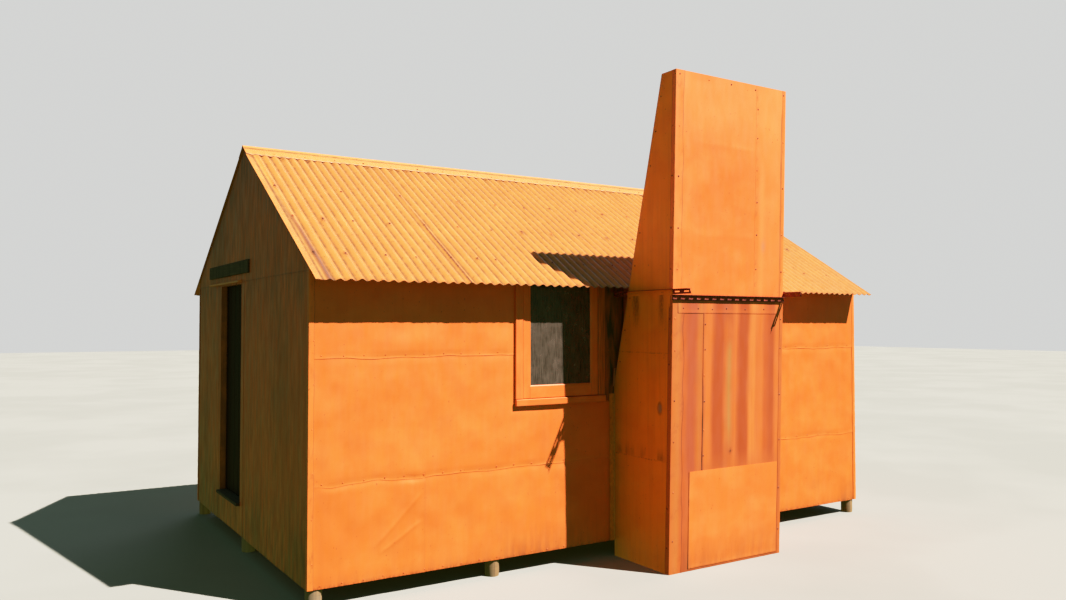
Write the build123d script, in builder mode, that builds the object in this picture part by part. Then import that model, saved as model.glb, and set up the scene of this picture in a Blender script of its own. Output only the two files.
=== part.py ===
"""Backcountry hut: a framed and sheet iron clad hut with a corrugated roof and a tall sheet iron chimney.

Sizes are millimetres. X runs along the front wall, Y from the front wall to the rear wall, Z up from
the ground. The origin is on the ground, in the middle of the space that the hut takes up.
"""

from build123d import *
from math import cos, floor as whole, pi, radians, sin, tan
import os

# Piles and floor
pile_diameter = 120
pile_height = 165
piles_in_row = 5
bearer_width = 75
bearer_depth = 90
joist_width = 50
joist_depth = 95
joist_spacing = 450
floor_thickness = 22

# Walls
wall_length = 5680
wall_width = 3540
stud_width = 45
stud_depth = 90
stud_length = 1772
stud_spacing = 610
plate_depth = 45
sheet_metal = 1.0
layer_step = 1.5
cladding_base = 130
first_course = 679
sheet_cover = 864
sheet_lap = 50
gable_course = 2140
flashing_leg = 45

# Roof
roof_pitch = 31.5
rafter_width = 45
rafter_depth = 90
rafter_pairs = 7
ridge_board_width = 25
batten_width = 75
batten_depth = 25
battens_in_slope = 5
batten_from_ridge = 50
eave_overhang = 179
verge_overhang = 17.5
corrugation_pitch = 76.2
corrugation_depth = 17
corrugations_covered = 7.5
corrugations_lapped = 1
roof_metal = 1.0
steps_in_wave = 6
steps_to_trough = 4
cap_flange = 150
cap_metal = 1.2

# Window, measured from the left end of the front wall and from the foot of the cladding
window_left = 1614
window_sill_foot = 1147
window_sill_depth = 53
window_sill_reach = 30
window_sill_fall = 3
casing_width = 70
casing_thickness = 20
stile_width = 62
bottom_rail = 92
top_rail = 45
sash_reach = 13
glass_width = 594
glass_thickness = 3

# Doorway in the left gable, measured from the front wall and from the foot of the cladding
door_near = 1827
door_width = 741
door_head = 2125
threshold_depth = 23
threshold_reach = 30
jamb_thickness = 22
stop_width = 12
stop_depth = 50
board_thickness = 22
ledge_thickness = 22
ledge_width = 110
ledge_inset = 45
ledge_from_end = 170
brace_width = 95
leaf_to_stop = 6
leaf_to_jamb = 7
leaf_to_threshold = 8
leaf_from_pin = 12
pin_to_jamb = 3
pin_to_frame = 13
strap_thickness = 4
strap_height = 32
strap_length = 430
eye_radius = 8
pin_radius = 4.5
pin_clearance = 0.5
pin_head = 18
bracket_depth = 12
bracket_width = 45
bracket_height = 80

# Sign board and the flashing over the doorway
sign_near = 1550
sign_length = 1435
sign_foot = 2206
sign_height = 112
sign_thickness = 20
head_flashing_foot = 2137
head_flashing_height = 26
head_flashing_reach = 32
head_flashing_length = 1098

# Chimney, measured from the left end of the front wall, from its face and from the ground
chimney_left = 2581
chimney_width = 1215
chimney_foot_depth = 667
chimney_top_depth = 779
chimney_top_back = 612
chimney_top = 3857
chimney_knee = 1420
chimney_metal = 0.8
chimney_layer = 0.9
upper_sheet_width = 900
upper_lap = 40
lower_sheet_width = 895
lower_lap = 40
joint_strip_height = 129
patch_left = 190
patch_right = 1176
patch_top = 765
side_laps = (850, 1680)
side_lap_height = 45
chimney_post = 45
hearth_side = 70
hearth_head_drop = 20
hearth_clearance = 8

# Steel angles that brace the chimney: one along each side, and one across its front
brace_leg = 40
brace_metal = 2
brace_under_plate = 98
brace_step = 44
front_sheets_past_brace = 36
left_brace_reach = 205
right_brace_reach = 130
front_brace_past = 12
slot_pitch = 84
slot_length = 44
slot_height = 9

# Folded strips over the front corners of the chimney, wider on the lower left
strip_metal = 1.0
strip_side_leg = 45
strip_left_upper = 83
strip_left_lower = 121
strip_right = 40

# Clearances: between pieces that lie on each other, under the roof sheets, and of the open ridge
seat_gap = 0.3
head_gap = 20
gable_gap = 4
ridge_gap = 8

# Heights
bearer_foot = pile_height
joist_foot = bearer_foot + bearer_depth
floor_foot = joist_foot + joist_depth
floor_top = floor_foot + floor_thickness
stud_foot = floor_top + plate_depth
plate_foot = stud_foot + stud_length
plate_top = plate_foot + plate_depth
side_brace_foot = plate_top - brace_under_plate
front_brace_foot = side_brace_foot - brace_step
chimney_break = front_brace_foot + front_sheets_past_brace

# Roof sheets: each rises a little along its width, to lie on the edge of the next one
slope = radians(roof_pitch)
sheet_width = corrugations_covered * corrugation_pitch
roof_length = wall_length + 2 * verge_overhang
wave_step = corrugation_pitch / steps_in_wave
sheets_in_slope = whole((roof_length - wave_step) / sheet_width) + 1
first_trough = steps_to_trough * wave_step
roof_lap = corrugations_lapped * corrugation_pitch
rise = (roof_metal + seat_gap) / sheet_width
crest_top = seat_gap + corrugation_depth + roof_metal + rise * (sheet_width + first_trough)
lean = (chimney_top_depth - chimney_foot_depth) / chimney_top
chimney_skin = 2 * chimney_layer + chimney_metal
strip_face = seat_gap + strip_metal


def chimney_depth(z):
    """How far the chimney's front face stands out from the wall at a height."""
    return chimney_foot_depth + lean * z


# Wall faces, placed so that the hut's space is centred on the origin
left_brace_tip = chimney_depth(side_brace_foot) + left_brace_reach
cladding_zone = 2 * layer_step + sheet_metal
left = (head_flashing_reach - verge_overhang - wall_length) / 2
right = left + wall_length
front = (left_brace_tip - wall_width - eave_overhang - crest_top * sin(slope)) / 2
rear = front + wall_width
middle = (front + rear) / 2
frame_front = front + cladding_zone
frame_rear = rear - cladding_zone
frame_left = left + cladding_zone
frame_right = right - cladding_zone
room_front = frame_front + stud_depth
room_rear = frame_rear - stud_depth
room_left = frame_left + stud_depth
room_right = frame_right - stud_depth

# Roof lines: heights along the underside of the rafters and of the sheets
roof_stack = (rafter_depth + batten_depth) / cos(slope)


def rafter_line(y):
    """Height of the rafters' underside on the front slope."""
    return plate_top + (y - room_front) * tan(slope)


def sheet_line(y):
    """Height of the plane that the front roof sheets lie on."""
    return rafter_line(y) + roof_stack


eave_y = front - eave_overhang
roof_left = left - verge_overhang
slope_length = (middle - eave_y) / cos(slope)
wall_top = sheet_line(front) - head_gap
roof_peak = sheet_line(middle)

# Window lines
window_right = window_left + 2 * casing_width + 2 * stile_width + glass_width
sash_left = window_left + casing_width
sash_right = window_right - casing_width
sill_foot = cladding_base + window_sill_foot
sill_top = sill_foot + window_sill_depth

# Chimney and hearth lines
chimney_right = chimney_left + chimney_width
hearth_left = chimney_left + hearth_side
hearth_right = chimney_right - hearth_side
hearth_head = chimney_knee - hearth_head_drop

# Doorway lines
doorway_near = front + door_near
doorway_far = doorway_near + door_width
doorway_head = cladding_base + door_head
rebate_near = doorway_near - stop_width
rebate_far = doorway_far + stop_width
rebate_head = doorway_head + stop_width
jamb_near = rebate_near - jamb_thickness
jamb_far = rebate_far + jamb_thickness
jamb_head = rebate_head + jamb_thickness

os.makedirs("parts", exist_ok=True)


def front_wall(depth):
    """Plane parallel to the front wall, a depth behind its face. Extrusions of minus t go inwards."""
    return Plane.XZ.offset(-(front + depth))


def gable_wall(x):
    """Plane across the hut at a place along X. Local x is Y and local y is Z."""
    return Plane.YZ.offset(x)


def area(x_low, x_high, y_low, y_high, mode=Mode.ADD):
    """Rectangle between two corners of the sketch's plane."""
    with Locations(((x_low + x_high) / 2, (y_low + y_high) / 2)):
        Rectangle(x_high - x_low, y_high - y_low, mode=mode)


def outline(points, mode=Mode.ADD):
    """Face with straight sides through the points."""
    Polygon(*points, align=None, mode=mode)


def spread(first, last, spacing):
    """Places from the first to the last, evenly spaced at about the spacing or closer."""
    count = whole((last - first) / spacing) + 1
    step = (last - first) / count
    return [first + step * n for n in range(count + 1)]


def studs(low, high, foot, top):
    """Sketch of a wall frame's bottom plate and studs between two ends."""
    area(low, high, foot - plate_depth, foot)
    for place in spread(low, high - stud_width, stud_spacing):
        area(place, place + stud_width, foot, top)


# Piles, three rows under the bearers
bearer_places = [frame_front, middle - bearer_width / 2, frame_rear - bearer_width]
pile_ends = (frame_left + pile_diameter / 2, frame_right - pile_diameter / 2)
pile_step = (pile_ends[1] - pile_ends[0]) / (piles_in_row - 1)
pile_rows = [frame_front + pile_diameter / 2, middle, frame_rear - pile_diameter / 2]

with BuildPart() as piles:
    with BuildSketch(Plane.XY):
        with Locations([(pile_ends[0] + n * pile_step, y) for n in range(piles_in_row) for y in pile_rows]):
            Circle(pile_diameter / 2)
    extrude(amount=pile_height)

# Bearers along the hut, joists across them, and the floor
with BuildPart() as bearers:
    with BuildSketch(Plane.XY.offset(bearer_foot)):
        for y in bearer_places:
            area(frame_left, frame_right, y, y + bearer_width)
    extrude(amount=bearer_depth)

with BuildPart() as floor_joists:
    with BuildSketch(Plane.XY.offset(joist_foot)):
        for x in spread(frame_left, frame_right - joist_width, joist_spacing):
            area(x, x + joist_width, frame_front, frame_rear)
    extrude(amount=joist_depth)

with BuildPart() as floor:
    with BuildSketch(Plane.XY.offset(floor_foot)):
        area(frame_left, frame_right, frame_front, frame_rear)
    extrude(amount=floor_thickness)

# Frame of the front wall, in panels beside, under and over its openings
with BuildPart() as front_frame_left:
    with BuildSketch(front_wall(cladding_zone)):
        studs(frame_left, left + sash_left, stud_foot, plate_foot)
    extrude(amount=-stud_depth)

with BuildPart() as front_frame_under_window:
    with BuildSketch(front_wall(cladding_zone)):
        area(left + sash_left, left + sash_right, floor_top, stud_foot)
        area(left + sash_left, left + sash_right, sill_top - plate_depth, sill_top)
        for x in spread(left + sash_left, left + sash_right - stud_width, stud_spacing):
            area(x, x + stud_width, stud_foot, sill_top - plate_depth)
    extrude(amount=-stud_depth)

with BuildPart() as front_frame_middle:
    with BuildSketch(front_wall(cladding_zone)):
        studs(left + sash_right, left + hearth_left, stud_foot, plate_foot)
    extrude(amount=-stud_depth)

with BuildPart() as front_frame_over_hearth:
    with BuildSketch(front_wall(cladding_zone)):
        studs(left + hearth_left, left + hearth_right, hearth_head + plate_depth, plate_foot)
    extrude(amount=-stud_depth)

with BuildPart() as front_frame_right:
    with BuildSketch(front_wall(cladding_zone)):
        studs(left + hearth_right, frame_right, stud_foot, plate_foot)
    extrude(amount=-stud_depth)

with BuildPart() as rear_frame:
    with BuildSketch(front_wall(wall_width - cladding_zone - stud_depth)):
        studs(frame_left, frame_right, stud_foot, plate_foot)
    extrude(amount=-stud_depth)

# Top plates of the long walls, which carry the rafters
with BuildPart() as wall_plates:
    with BuildSketch(Plane.XY.offset(plate_foot)):
        area(frame_left, frame_right, frame_front, room_front)
        area(frame_left, frame_right, room_rear, frame_rear)
    extrude(amount=plate_depth)


# Gable frames, whose studs run up to the end rafters
def under_rafters():
    """Outline of the space under the rafters between the long walls, from the floor up."""
    outline([
        (room_front, floor_top),
        (room_rear, floor_top),
        (room_rear, plate_top),
        (middle, rafter_line(middle)),
        (room_front, plate_top),
    ], mode=Mode.INTERSECT)


with BuildPart() as left_frame_near:
    with BuildSketch(gable_wall(frame_left)):
        studs(room_front, jamb_near, stud_foot, roof_peak)
        under_rafters()
    extrude(amount=stud_depth)

with BuildPart() as left_frame_far:
    with BuildSketch(gable_wall(frame_left)):
        studs(jamb_far, room_rear, stud_foot, roof_peak)
        under_rafters()
    extrude(amount=stud_depth)

with BuildPart() as left_frame_over_door:
    with BuildSketch(gable_wall(frame_left)):
        studs(jamb_near, jamb_far, jamb_head + plate_depth, roof_peak)
        under_rafters()
    extrude(amount=stud_depth)

with BuildPart() as right_frame:
    with BuildSketch(gable_wall(room_right)):
        studs(room_front, room_rear, stud_foot, roof_peak)
        under_rafters()
    extrude(amount=stud_depth)

# Rafters with a level seat on the plate, in pairs against the ridge board
ridge_face = middle - ridge_board_width / 2
rafter_rise = rafter_depth / cos(slope)
rafter_step = (frame_right - frame_left - rafter_width) / (rafter_pairs - 1)

across_hut = Plane.XZ.offset(-middle)

with BuildPart() as rafters:
    for n in range(rafter_pairs):
        with BuildSketch(gable_wall(frame_left + n * rafter_step)):
            outline([
                (frame_front, plate_top),
                (room_front, plate_top),
                (ridge_face, rafter_line(ridge_face)),
                (ridge_face, rafter_line(ridge_face) + rafter_rise),
                (frame_front, rafter_line(frame_front) + rafter_rise),
            ])
        extrude(amount=rafter_width)
    mirror(about=across_hut)

with BuildPart() as ridge_board:
    with BuildSketch(gable_wall(frame_left)):
        area(ridge_face, ridge_face + ridge_board_width,
             rafter_line(middle), rafter_line(ridge_face) + rafter_rise)
    extrude(amount=frame_right - frame_left)


# Roof slope frame: local x runs along the eave, local y is square to the slope, and the plane looks down it
def slope_plane(distance):
    """Plane square to the front slope, a distance up it from the eave."""
    up_y = eave_y + distance * cos(slope)
    corner = (roof_left, up_y, sheet_line(up_y))
    return Plane(origin=corner, x_dir=(1, 0, 0), z_dir=(0, -cos(slope), -sin(slope)))


batten_start = (frame_front - eave_y) / cos(slope)
batten_end = slope_length - batten_width - batten_from_ridge
batten_step = (batten_end - batten_start) / (battens_in_slope - 1)
verge = -roof_left + frame_left

with BuildPart() as battens:
    for n in range(battens_in_slope):
        with BuildSketch(slope_plane(batten_start + n * batten_step)):
            area(verge, verge + frame_right - frame_left, -batten_depth, 0)
        extrude(amount=-batten_width)
    mirror(about=across_hut)

# Corrugated sheets, from the left verge to the right one
def wave(x):
    """Height of the corrugations over the plane of the slope."""
    turn = 2 * pi * (x - first_trough) / corrugation_pitch
    return seat_gap + corrugation_depth / 2 * (1 - cos(turn))


def corrugated(start, width):
    """Section of one sheet from its left edge, with its right edge cut where the width ends."""
    steps = whole((width - roof_metal) / wave_step) + 1
    places = [start + n * wave_step for n in range(steps)] + [start + width]
    under = [(x, wave(x) + rise * (x - start)) for x in places]
    over = [(x, z + roof_metal) for x, z in reversed(under)]
    outline(under + over)


with BuildPart() as front_roof_sheets:
    for n in range(sheets_in_slope):
        start = n * sheet_width
        with BuildSketch(slope_plane(0)):
            corrugated(start, min(sheet_width + roof_lap, roof_length - start))
        extrude(amount=-(slope_length - ridge_gap))

with BuildPart() as rear_roof_sheets:
    mirror(front_roof_sheets.part, about=across_hut)

# Ridge cap, a folded strip that lies on the crests of both slopes
cap_under = crest_top + seat_gap
cap_over = cap_under + cap_metal


def on_slope(height, down):
    """Point beside the ridge: a height square to the front slope and a distance down it."""
    y = middle - down * cos(slope)
    return y, sheet_line(y) + height / cos(slope)


def other_side(point):
    """The same point on the rear slope."""
    return 2 * middle - point[0], point[1]


with BuildPart() as ridge_cap:
    with BuildSketch(gable_wall(roof_left)):
        foot_over, foot_under = on_slope(cap_over, cap_flange), on_slope(cap_under, cap_flange)
        outline([
            on_slope(cap_over, 0),
            foot_over,
            foot_under,
            on_slope(cap_under, 0),
            other_side(foot_under),
            other_side(foot_over),
        ])
    extrude(amount=roof_length)

# Flat iron on the long walls, in three courses, each hung outside the one below
courses = [
    (cladding_base, cladding_base + first_course + sheet_lap, 2 * layer_step),
    (cladding_base + first_course, cladding_base + first_course + sheet_cover + sheet_lap, layer_step),
    (cladding_base + first_course + sheet_cover, wall_top, 0),
]

with BuildPart() as front_cladding:
    for foot, top, depth in courses:
        with BuildSketch(front_wall(depth)):
            area(frame_left, frame_right, foot, top)
            area(left + sash_left, left + sash_right, sill_top, roof_peak, mode=Mode.SUBTRACT)
            area(left + hearth_left, left + hearth_right, 0, hearth_head, mode=Mode.SUBTRACT)
        extrude(amount=-sheet_metal)

with BuildPart() as rear_cladding:
    for foot, top, depth in courses:
        with BuildSketch(front_wall(wall_width - depth)):
            area(frame_left, frame_right, foot, top)
        extrude(amount=sheet_metal)

# Flat iron on the gables: upright sheets below, and a course that fills the peak
gable_lap = cladding_base + gable_course


def under_roof():
    """Outline of a gable below the roof sheets."""
    outline([
        (frame_front, cladding_base),
        (frame_rear, cladding_base),
        (frame_rear, sheet_line(frame_front) - gable_gap),
        (middle, sheet_line(middle) - gable_gap),
        (frame_front, sheet_line(frame_front) - gable_gap),
    ], mode=Mode.INTERSECT)


def gable_sheets(x_outer, inward, has_door):
    """Upright sheets of a gable in two layers, and the course over them in the outer one."""
    places = spread(frame_front, frame_rear, sheet_cover + sheet_lap)
    for n in range(len(places) - 1):
        depth = (1 + n % 2) * layer_step
        lap_side = sheet_lap if 0 < n < len(places) - 1 else 0
        with BuildSketch(gable_wall(x_outer + inward * depth)) as sheet:
            area(places[n] - lap_side, places[n + 1], cladding_base, gable_lap + sheet_lap)
            under_roof()
            if has_door:
                area(doorway_near, doorway_far, floor_top, doorway_head, mode=Mode.SUBTRACT)
        extrude(sheet.sketch, amount=inward * sheet_metal)
    with BuildSketch(gable_wall(x_outer)) as peak:
        area(frame_front, frame_rear, gable_lap, roof_peak)
        under_roof()
    extrude(peak.sketch, amount=inward * sheet_metal)


with BuildPart() as left_gable_cladding:
    gable_sheets(left, 1, has_door=True)
with BuildPart() as right_gable_cladding:
    gable_sheets(right, -1, has_door=False)

# Window: a board each side over a sill, a sash fixed on the face of the frame, and one pane
with BuildPart() as window_surround:
    with BuildSketch(front_wall(0)):
        area(left + window_left, left + sash_left, sill_top + seat_gap, wall_top)
        area(left + sash_right, left + window_right, sill_top + seat_gap, wall_top)
    extrude(amount=casing_thickness)
    with BuildSketch(gable_wall(left + window_left)):
        outline([
            (front, sill_foot),
            (front, sill_top),
            (front - window_sill_reach, sill_top - window_sill_fall),
            (front - window_sill_reach, sill_foot),
        ])
    extrude(amount=window_right - window_left)

glass_left = left + sash_left + stile_width
glass_foot = sill_top + bottom_rail
glass_top = wall_top - top_rail

with BuildPart() as window_sash:
    with BuildSketch(front_wall(-sash_reach)):
        area(left + sash_left, left + sash_right, sill_top + seat_gap, wall_top)
        area(glass_left, glass_left + glass_width, glass_foot, glass_top, mode=Mode.SUBTRACT)
    extrude(amount=-(sash_reach + cladding_zone))

with BuildPart() as window_glass:
    with BuildSketch(front_wall(-glass_thickness)):
        area(glass_left, glass_left + glass_width, glass_foot, glass_top)
    extrude(amount=-glass_thickness)


# Door lining: rebated jambs and a rebated head between the studs, over a threshold
threshold_top = floor_top + threshold_depth
stop_inside = left + stop_depth

with BuildPart() as door_jambs:
    with BuildSketch(Plane.XY.offset(threshold_top)):
        area(frame_left, room_left, jamb_near, rebate_near)
        area(frame_left, stop_inside, rebate_near, doorway_near)
        area(frame_left, room_left, rebate_far, jamb_far)
        area(frame_left, stop_inside, doorway_far, rebate_far)
    extrude(amount=doorway_head - threshold_top)

with BuildPart() as door_lining_head:
    with BuildSketch(Plane.XZ.offset(-jamb_near)):
        area(frame_left, room_left, rebate_head, jamb_head)
        area(frame_left, stop_inside, doorway_head, rebate_head)
    extrude(amount=jamb_near - jamb_far)

with BuildPart() as threshold:
    with BuildSketch(Plane.XY.offset(floor_top)):
        area(left - threshold_reach, frame_left, doorway_near + seat_gap, doorway_far - seat_gap)
        area(frame_left, room_left, jamb_near, jamb_far)
    extrude(amount=threshold_depth)

# Door leaf, closed: upright boards on ledges and braces, hinged on the rear jamb to open inwards
hinge_x = room_left + pin_to_frame
hinge_y = rebate_far + pin_to_jamb
leaf_outside = stop_inside + leaf_to_stop
ledge_outside = leaf_outside + board_thickness
leaf_inside = ledge_outside + ledge_thickness
leaf_swing = hinge_y - rebate_near - leaf_to_jamb
leaf_near = hinge_y - (leaf_swing ** 2 - (hinge_x - leaf_outside) ** 2) ** 0.5
leaf_far = hinge_y - leaf_from_pin
leaf_foot = threshold_top + leaf_to_threshold
leaf_top = rebate_head - leaf_to_jamb
ledge_heights = [leaf_foot + ledge_from_end, (leaf_foot + leaf_top) / 2, leaf_top - ledge_from_end]
ledge_near, ledge_far = leaf_near + ledge_inset, leaf_far - ledge_inset

with BuildPart() as door_leaf:
    with BuildSketch(gable_wall(leaf_outside)):
        area(leaf_near, leaf_far, leaf_foot, leaf_top)
    extrude(amount=board_thickness)
    with BuildSketch(gable_wall(ledge_outside)):
        for z in ledge_heights:
            area(ledge_near, ledge_far, z - ledge_width / 2, z + ledge_width / 2)
        for low, high in zip(ledge_heights, ledge_heights[1:]):
            foot, top = low + ledge_width / 2, high - ledge_width / 2
            outline([
                (ledge_far, foot),
                (ledge_far - brace_width, foot),
                (ledge_near, top),
                (ledge_near + brace_width, top),
            ])
    extrude(amount=ledge_thickness)

# Strap hinges: eyes that turn on upright pins, which stand on brackets fixed to the jamb and its stud
strap_heights = [ledge_heights[0], ledge_heights[-1]]

with BuildPart() as hinge_straps:
    for z in strap_heights:
        with BuildSketch(Plane.XY.offset(z - strap_height / 2)):
            with Locations((hinge_x, hinge_y)):
                Circle(eye_radius)
            area(leaf_inside, leaf_inside + strap_thickness, hinge_y - strap_length, hinge_y)
            with Locations((hinge_x, hinge_y)):
                Circle(pin_radius + pin_clearance, mode=Mode.SUBTRACT)
        extrude(amount=strap_height)

with BuildPart() as hinge_pins:
    for z in strap_heights:
        bracket_top = z - strap_height / 2 - pin_clearance
        with BuildSketch(gable_wall(room_left)):
            area(rebate_far, rebate_far + bracket_width, bracket_top - bracket_height, bracket_top)
        extrude(amount=strap_thickness)
        with BuildSketch(Plane.XY.offset(bracket_top - bracket_depth)):
            area(room_left, hinge_x + pin_radius, hinge_y - pin_radius, hinge_y + pin_radius)
        extrude(amount=bracket_depth)
        with BuildSketch(Plane.XY.offset(bracket_top)):
            with Locations((hinge_x, hinge_y)):
                Circle(pin_radius)
        extrude(amount=strap_height + pin_head)

# Sign board, left bare, and the flashing over the doorway
with BuildPart() as sign_board:
    with BuildSketch(gable_wall(left - sign_thickness)):
        sign_z = cladding_base + sign_foot
        area(front + sign_near, front + sign_near + sign_length, sign_z, sign_z + sign_height)
    extrude(amount=sign_thickness)

with BuildPart() as door_head_flashing:
    with BuildSketch(Plane.XZ.offset(-doorway_near)):
        flashing_z = cladding_base + head_flashing_foot
        outline([
            (left, flashing_z + head_flashing_height),
            (left - head_flashing_reach, flashing_z + head_flashing_height / 2),
            (left - head_flashing_reach, flashing_z),
            (left, flashing_z),
        ])
    extrude(amount=-head_flashing_length)


# Chimney: leaning front, tapered sides, and a back that leaves the wall at the knee. Its front and sides are
# sheets that lap in layers, each layer one step behind the last
def chimney_front_y(z, inward=0):
    """Y of the chimney's front face at a height, or of a face behind it."""
    return front - chimney_depth(z) + inward


def chimney_back_y(z, inward=0):
    """Y of the chimney's back above the knee, or of a face in front of it."""
    share = (z - chimney_knee) / (chimney_top - chimney_knee)
    return front - share * chimney_top_back - inward


stack_left = left + chimney_left
stack_right = left + chimney_right
stack_inner_left = stack_left + chimney_skin
stack_inner_right = stack_right - chimney_skin


def leaning(z_low, z_high, face, near, far):
    """Section of a sheet or a post that follows the front or the back of the chimney."""
    outline([
        (face(z_low, near), z_low),
        (face(z_high, near), z_high),
        (face(z_high, far), z_high),
        (face(z_low, far), z_low),
    ])


def front_sheet(x_low, x_high, z_low, z_high, layer):
    """Sheet of the chimney's front between two places along it and two heights."""
    depth = layer * chimney_layer
    with BuildSketch(gable_wall(stack_left + x_low)) as sheet:
        leaning(z_low, z_high, chimney_front_y, depth, depth + chimney_metal)
    extrude(sheet.sketch, amount=x_high - x_low)


lower_edge = chimney_width - lower_sheet_width

with BuildPart() as chimney_front_upper:
    front_sheet(0, upper_sheet_width, chimney_break, chimney_top, 0)
    front_sheet(upper_sheet_width - upper_lap, chimney_width, chimney_break, chimney_top, 1)

with BuildPart() as chimney_front_lower:
    front_sheet(0, chimney_width, chimney_break - joint_strip_height, chimney_break, 0)
    front_sheet(patch_left, patch_right, 0, patch_top, 0)
    front_sheet(lower_edge, chimney_width, 0, chimney_break, 1)
    front_sheet(0, lower_edge + lower_lap, 0, chimney_break, 2)


def chimney_side(x_outer, inward):
    """Sheets of one side, each hung outside the one below and ending behind the front sheets."""
    edges = [0, *side_laps, chimney_top]
    for n in range(len(edges) - 1):
        is_top = n == len(edges) - 2
        depth = (len(edges) - 2 - n) * chimney_layer
        with BuildSketch(gable_wall(x_outer + inward * depth)) as side:
            outline([
                (front, 0),
                (front, chimney_knee),
                (front - chimney_top_back, chimney_top),
                (chimney_front_y(chimney_top, chimney_skin), chimney_top),
                (chimney_front_y(0, chimney_skin), 0),
            ])
            top = edges[n + 1] if is_top else edges[n + 1] + side_lap_height
            area(chimney_front_y(chimney_top), front, edges[n], top, mode=Mode.INTERSECT)
        extrude(side.sketch, amount=inward * chimney_metal)


with BuildPart() as chimney_sides:
    chimney_side(stack_left, 1)
    chimney_side(stack_right, -1)

with BuildPart() as chimney_back:
    with BuildSketch(gable_wall(stack_inner_left)):
        leaning(chimney_knee, chimney_top, chimney_back_y, 0, chimney_metal)
    extrude(amount=stack_inner_right - stack_inner_left)

with BuildPart() as chimney_posts:
    for x in (stack_inner_left, stack_inner_right - chimney_post):
        with BuildSketch(gable_wall(x)):
            leaning(0, chimney_top, chimney_front_y, chimney_skin, chimney_skin + chimney_post)
            leaning(chimney_knee, chimney_top, chimney_back_y, chimney_metal, chimney_metal + chimney_post)
        extrude(amount=chimney_post)

# Hearth base, built up to floor level in the opening and against the bearer
hearth_front = chimney_skin + chimney_post + hearth_clearance

with BuildPart() as hearth_base:
    with BuildSketch(gable_wall(left + hearth_left)):
        outline([
            (frame_front, 0),
            (frame_front, floor_top),
            (chimney_front_y(floor_top, hearth_front), floor_top),
            (chimney_front_y(0, hearth_front), 0),
        ])
    extrude(amount=hearth_right - hearth_left)

def chimney_strip(corner, inward, face_leg, z_low, z_high):
    """Strip folded over a front corner of the chimney, with one leg on its front and one on its side."""
    outer = corner - inward * strip_face
    with BuildSketch(gable_wall(outer)) as face:
        leaning(z_low, z_high, chimney_front_y, -strip_face, -seat_gap)
    extrude(face.sketch, amount=inward * (face_leg + strip_face))
    with BuildSketch(gable_wall(outer)) as side:
        leaning(z_low, z_high, chimney_front_y, -strip_face, strip_side_leg)
    extrude(side.sketch, amount=inward * strip_metal)


# Folded strips over the four corners of the hut and the front corners of the chimney
with BuildPart() as corner_flashings:
    with BuildSketch(Plane.XY.offset(cladding_base)):
        for x, step_x in ((left, 1), (right, -1)):
            for y, step_y in ((front, 1), (rear, -1)):
                x_in, y_in = x - step_x * seat_gap, y - step_y * seat_gap
                x_out, y_out = x_in - step_x * sheet_metal, y_in - step_y * sheet_metal
                outline([
                    (x_out, y_out),
                    (x_out + step_x * flashing_leg, y_out),
                    (x_out + step_x * flashing_leg, y_in),
                    (x_in, y_in),
                    (x_in, y_out + step_y * flashing_leg),
                    (x_out, y_out + step_y * flashing_leg),
                ])
    extrude(amount=wall_top - cladding_base)
    chimney_strip(stack_left, 1, strip_left_lower, 0, chimney_break)
    chimney_strip(stack_left, 1, strip_left_upper, chimney_break + seat_gap, chimney_top)
    chimney_strip(stack_right, -1, strip_right, 0, chimney_top)

# Steel angles: one from the wall along each side of the chimney, and one across its front
def slots(low, high):
    """Places of the slots along an angle, centred between its ends."""
    count = whole((high - low - slot_pitch) / slot_pitch) + 1
    first = (low + high - (count - 1) * slot_pitch) / 2
    return [first + n * slot_pitch for n in range(count)]


def brace(corner, foot, across):
    """Section of an angle: an upright leg at the corner, and a level leg at its top that runs across."""
    top = foot + brace_leg
    inner = corner + across * brace_metal
    tip = corner + across * brace_leg
    outline([
        (corner, foot),
        (corner, top),
        (tip, top),
        (tip, top - brace_metal),
        (inner, top - brace_metal),
        (inner, foot),
    ])


right_brace_tip = chimney_depth(side_brace_foot) + right_brace_reach

with BuildPart() as chimney_side_braces:
    for corner, across, tip in ((stack_left, -1, left_brace_tip), (stack_right, 1, right_brace_tip)):
        seat = corner + across * strip_face
        with BuildSketch(front_wall(0)):
            brace(seat, side_brace_foot, across)
        extrude(amount=tip)
        with BuildSketch(gable_wall(seat)):
            with Locations([(front - y, side_brace_foot + brace_leg / 2) for y in slots(0, tip)]):
                Rectangle(slot_length, slot_height)
        extrude(amount=across * brace_metal, mode=Mode.SUBTRACT)

front_brace_y = chimney_front_y(front_brace_foot + brace_leg, -strip_face)
front_brace_ends = (stack_left - front_brace_past, stack_right + front_brace_past)

with BuildPart() as chimney_front_brace:
    with BuildSketch(gable_wall(front_brace_ends[0])):
        brace(front_brace_y, front_brace_foot, -1)
    extrude(amount=front_brace_ends[1] - front_brace_ends[0])
    with BuildSketch(Plane.XZ.offset(-front_brace_y)):
        with Locations([(x, front_brace_foot + brace_leg / 2) for x in slots(*front_brace_ends)]):
            Rectangle(slot_length, slot_height)
    extrude(amount=brace_metal, mode=Mode.SUBTRACT)

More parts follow.
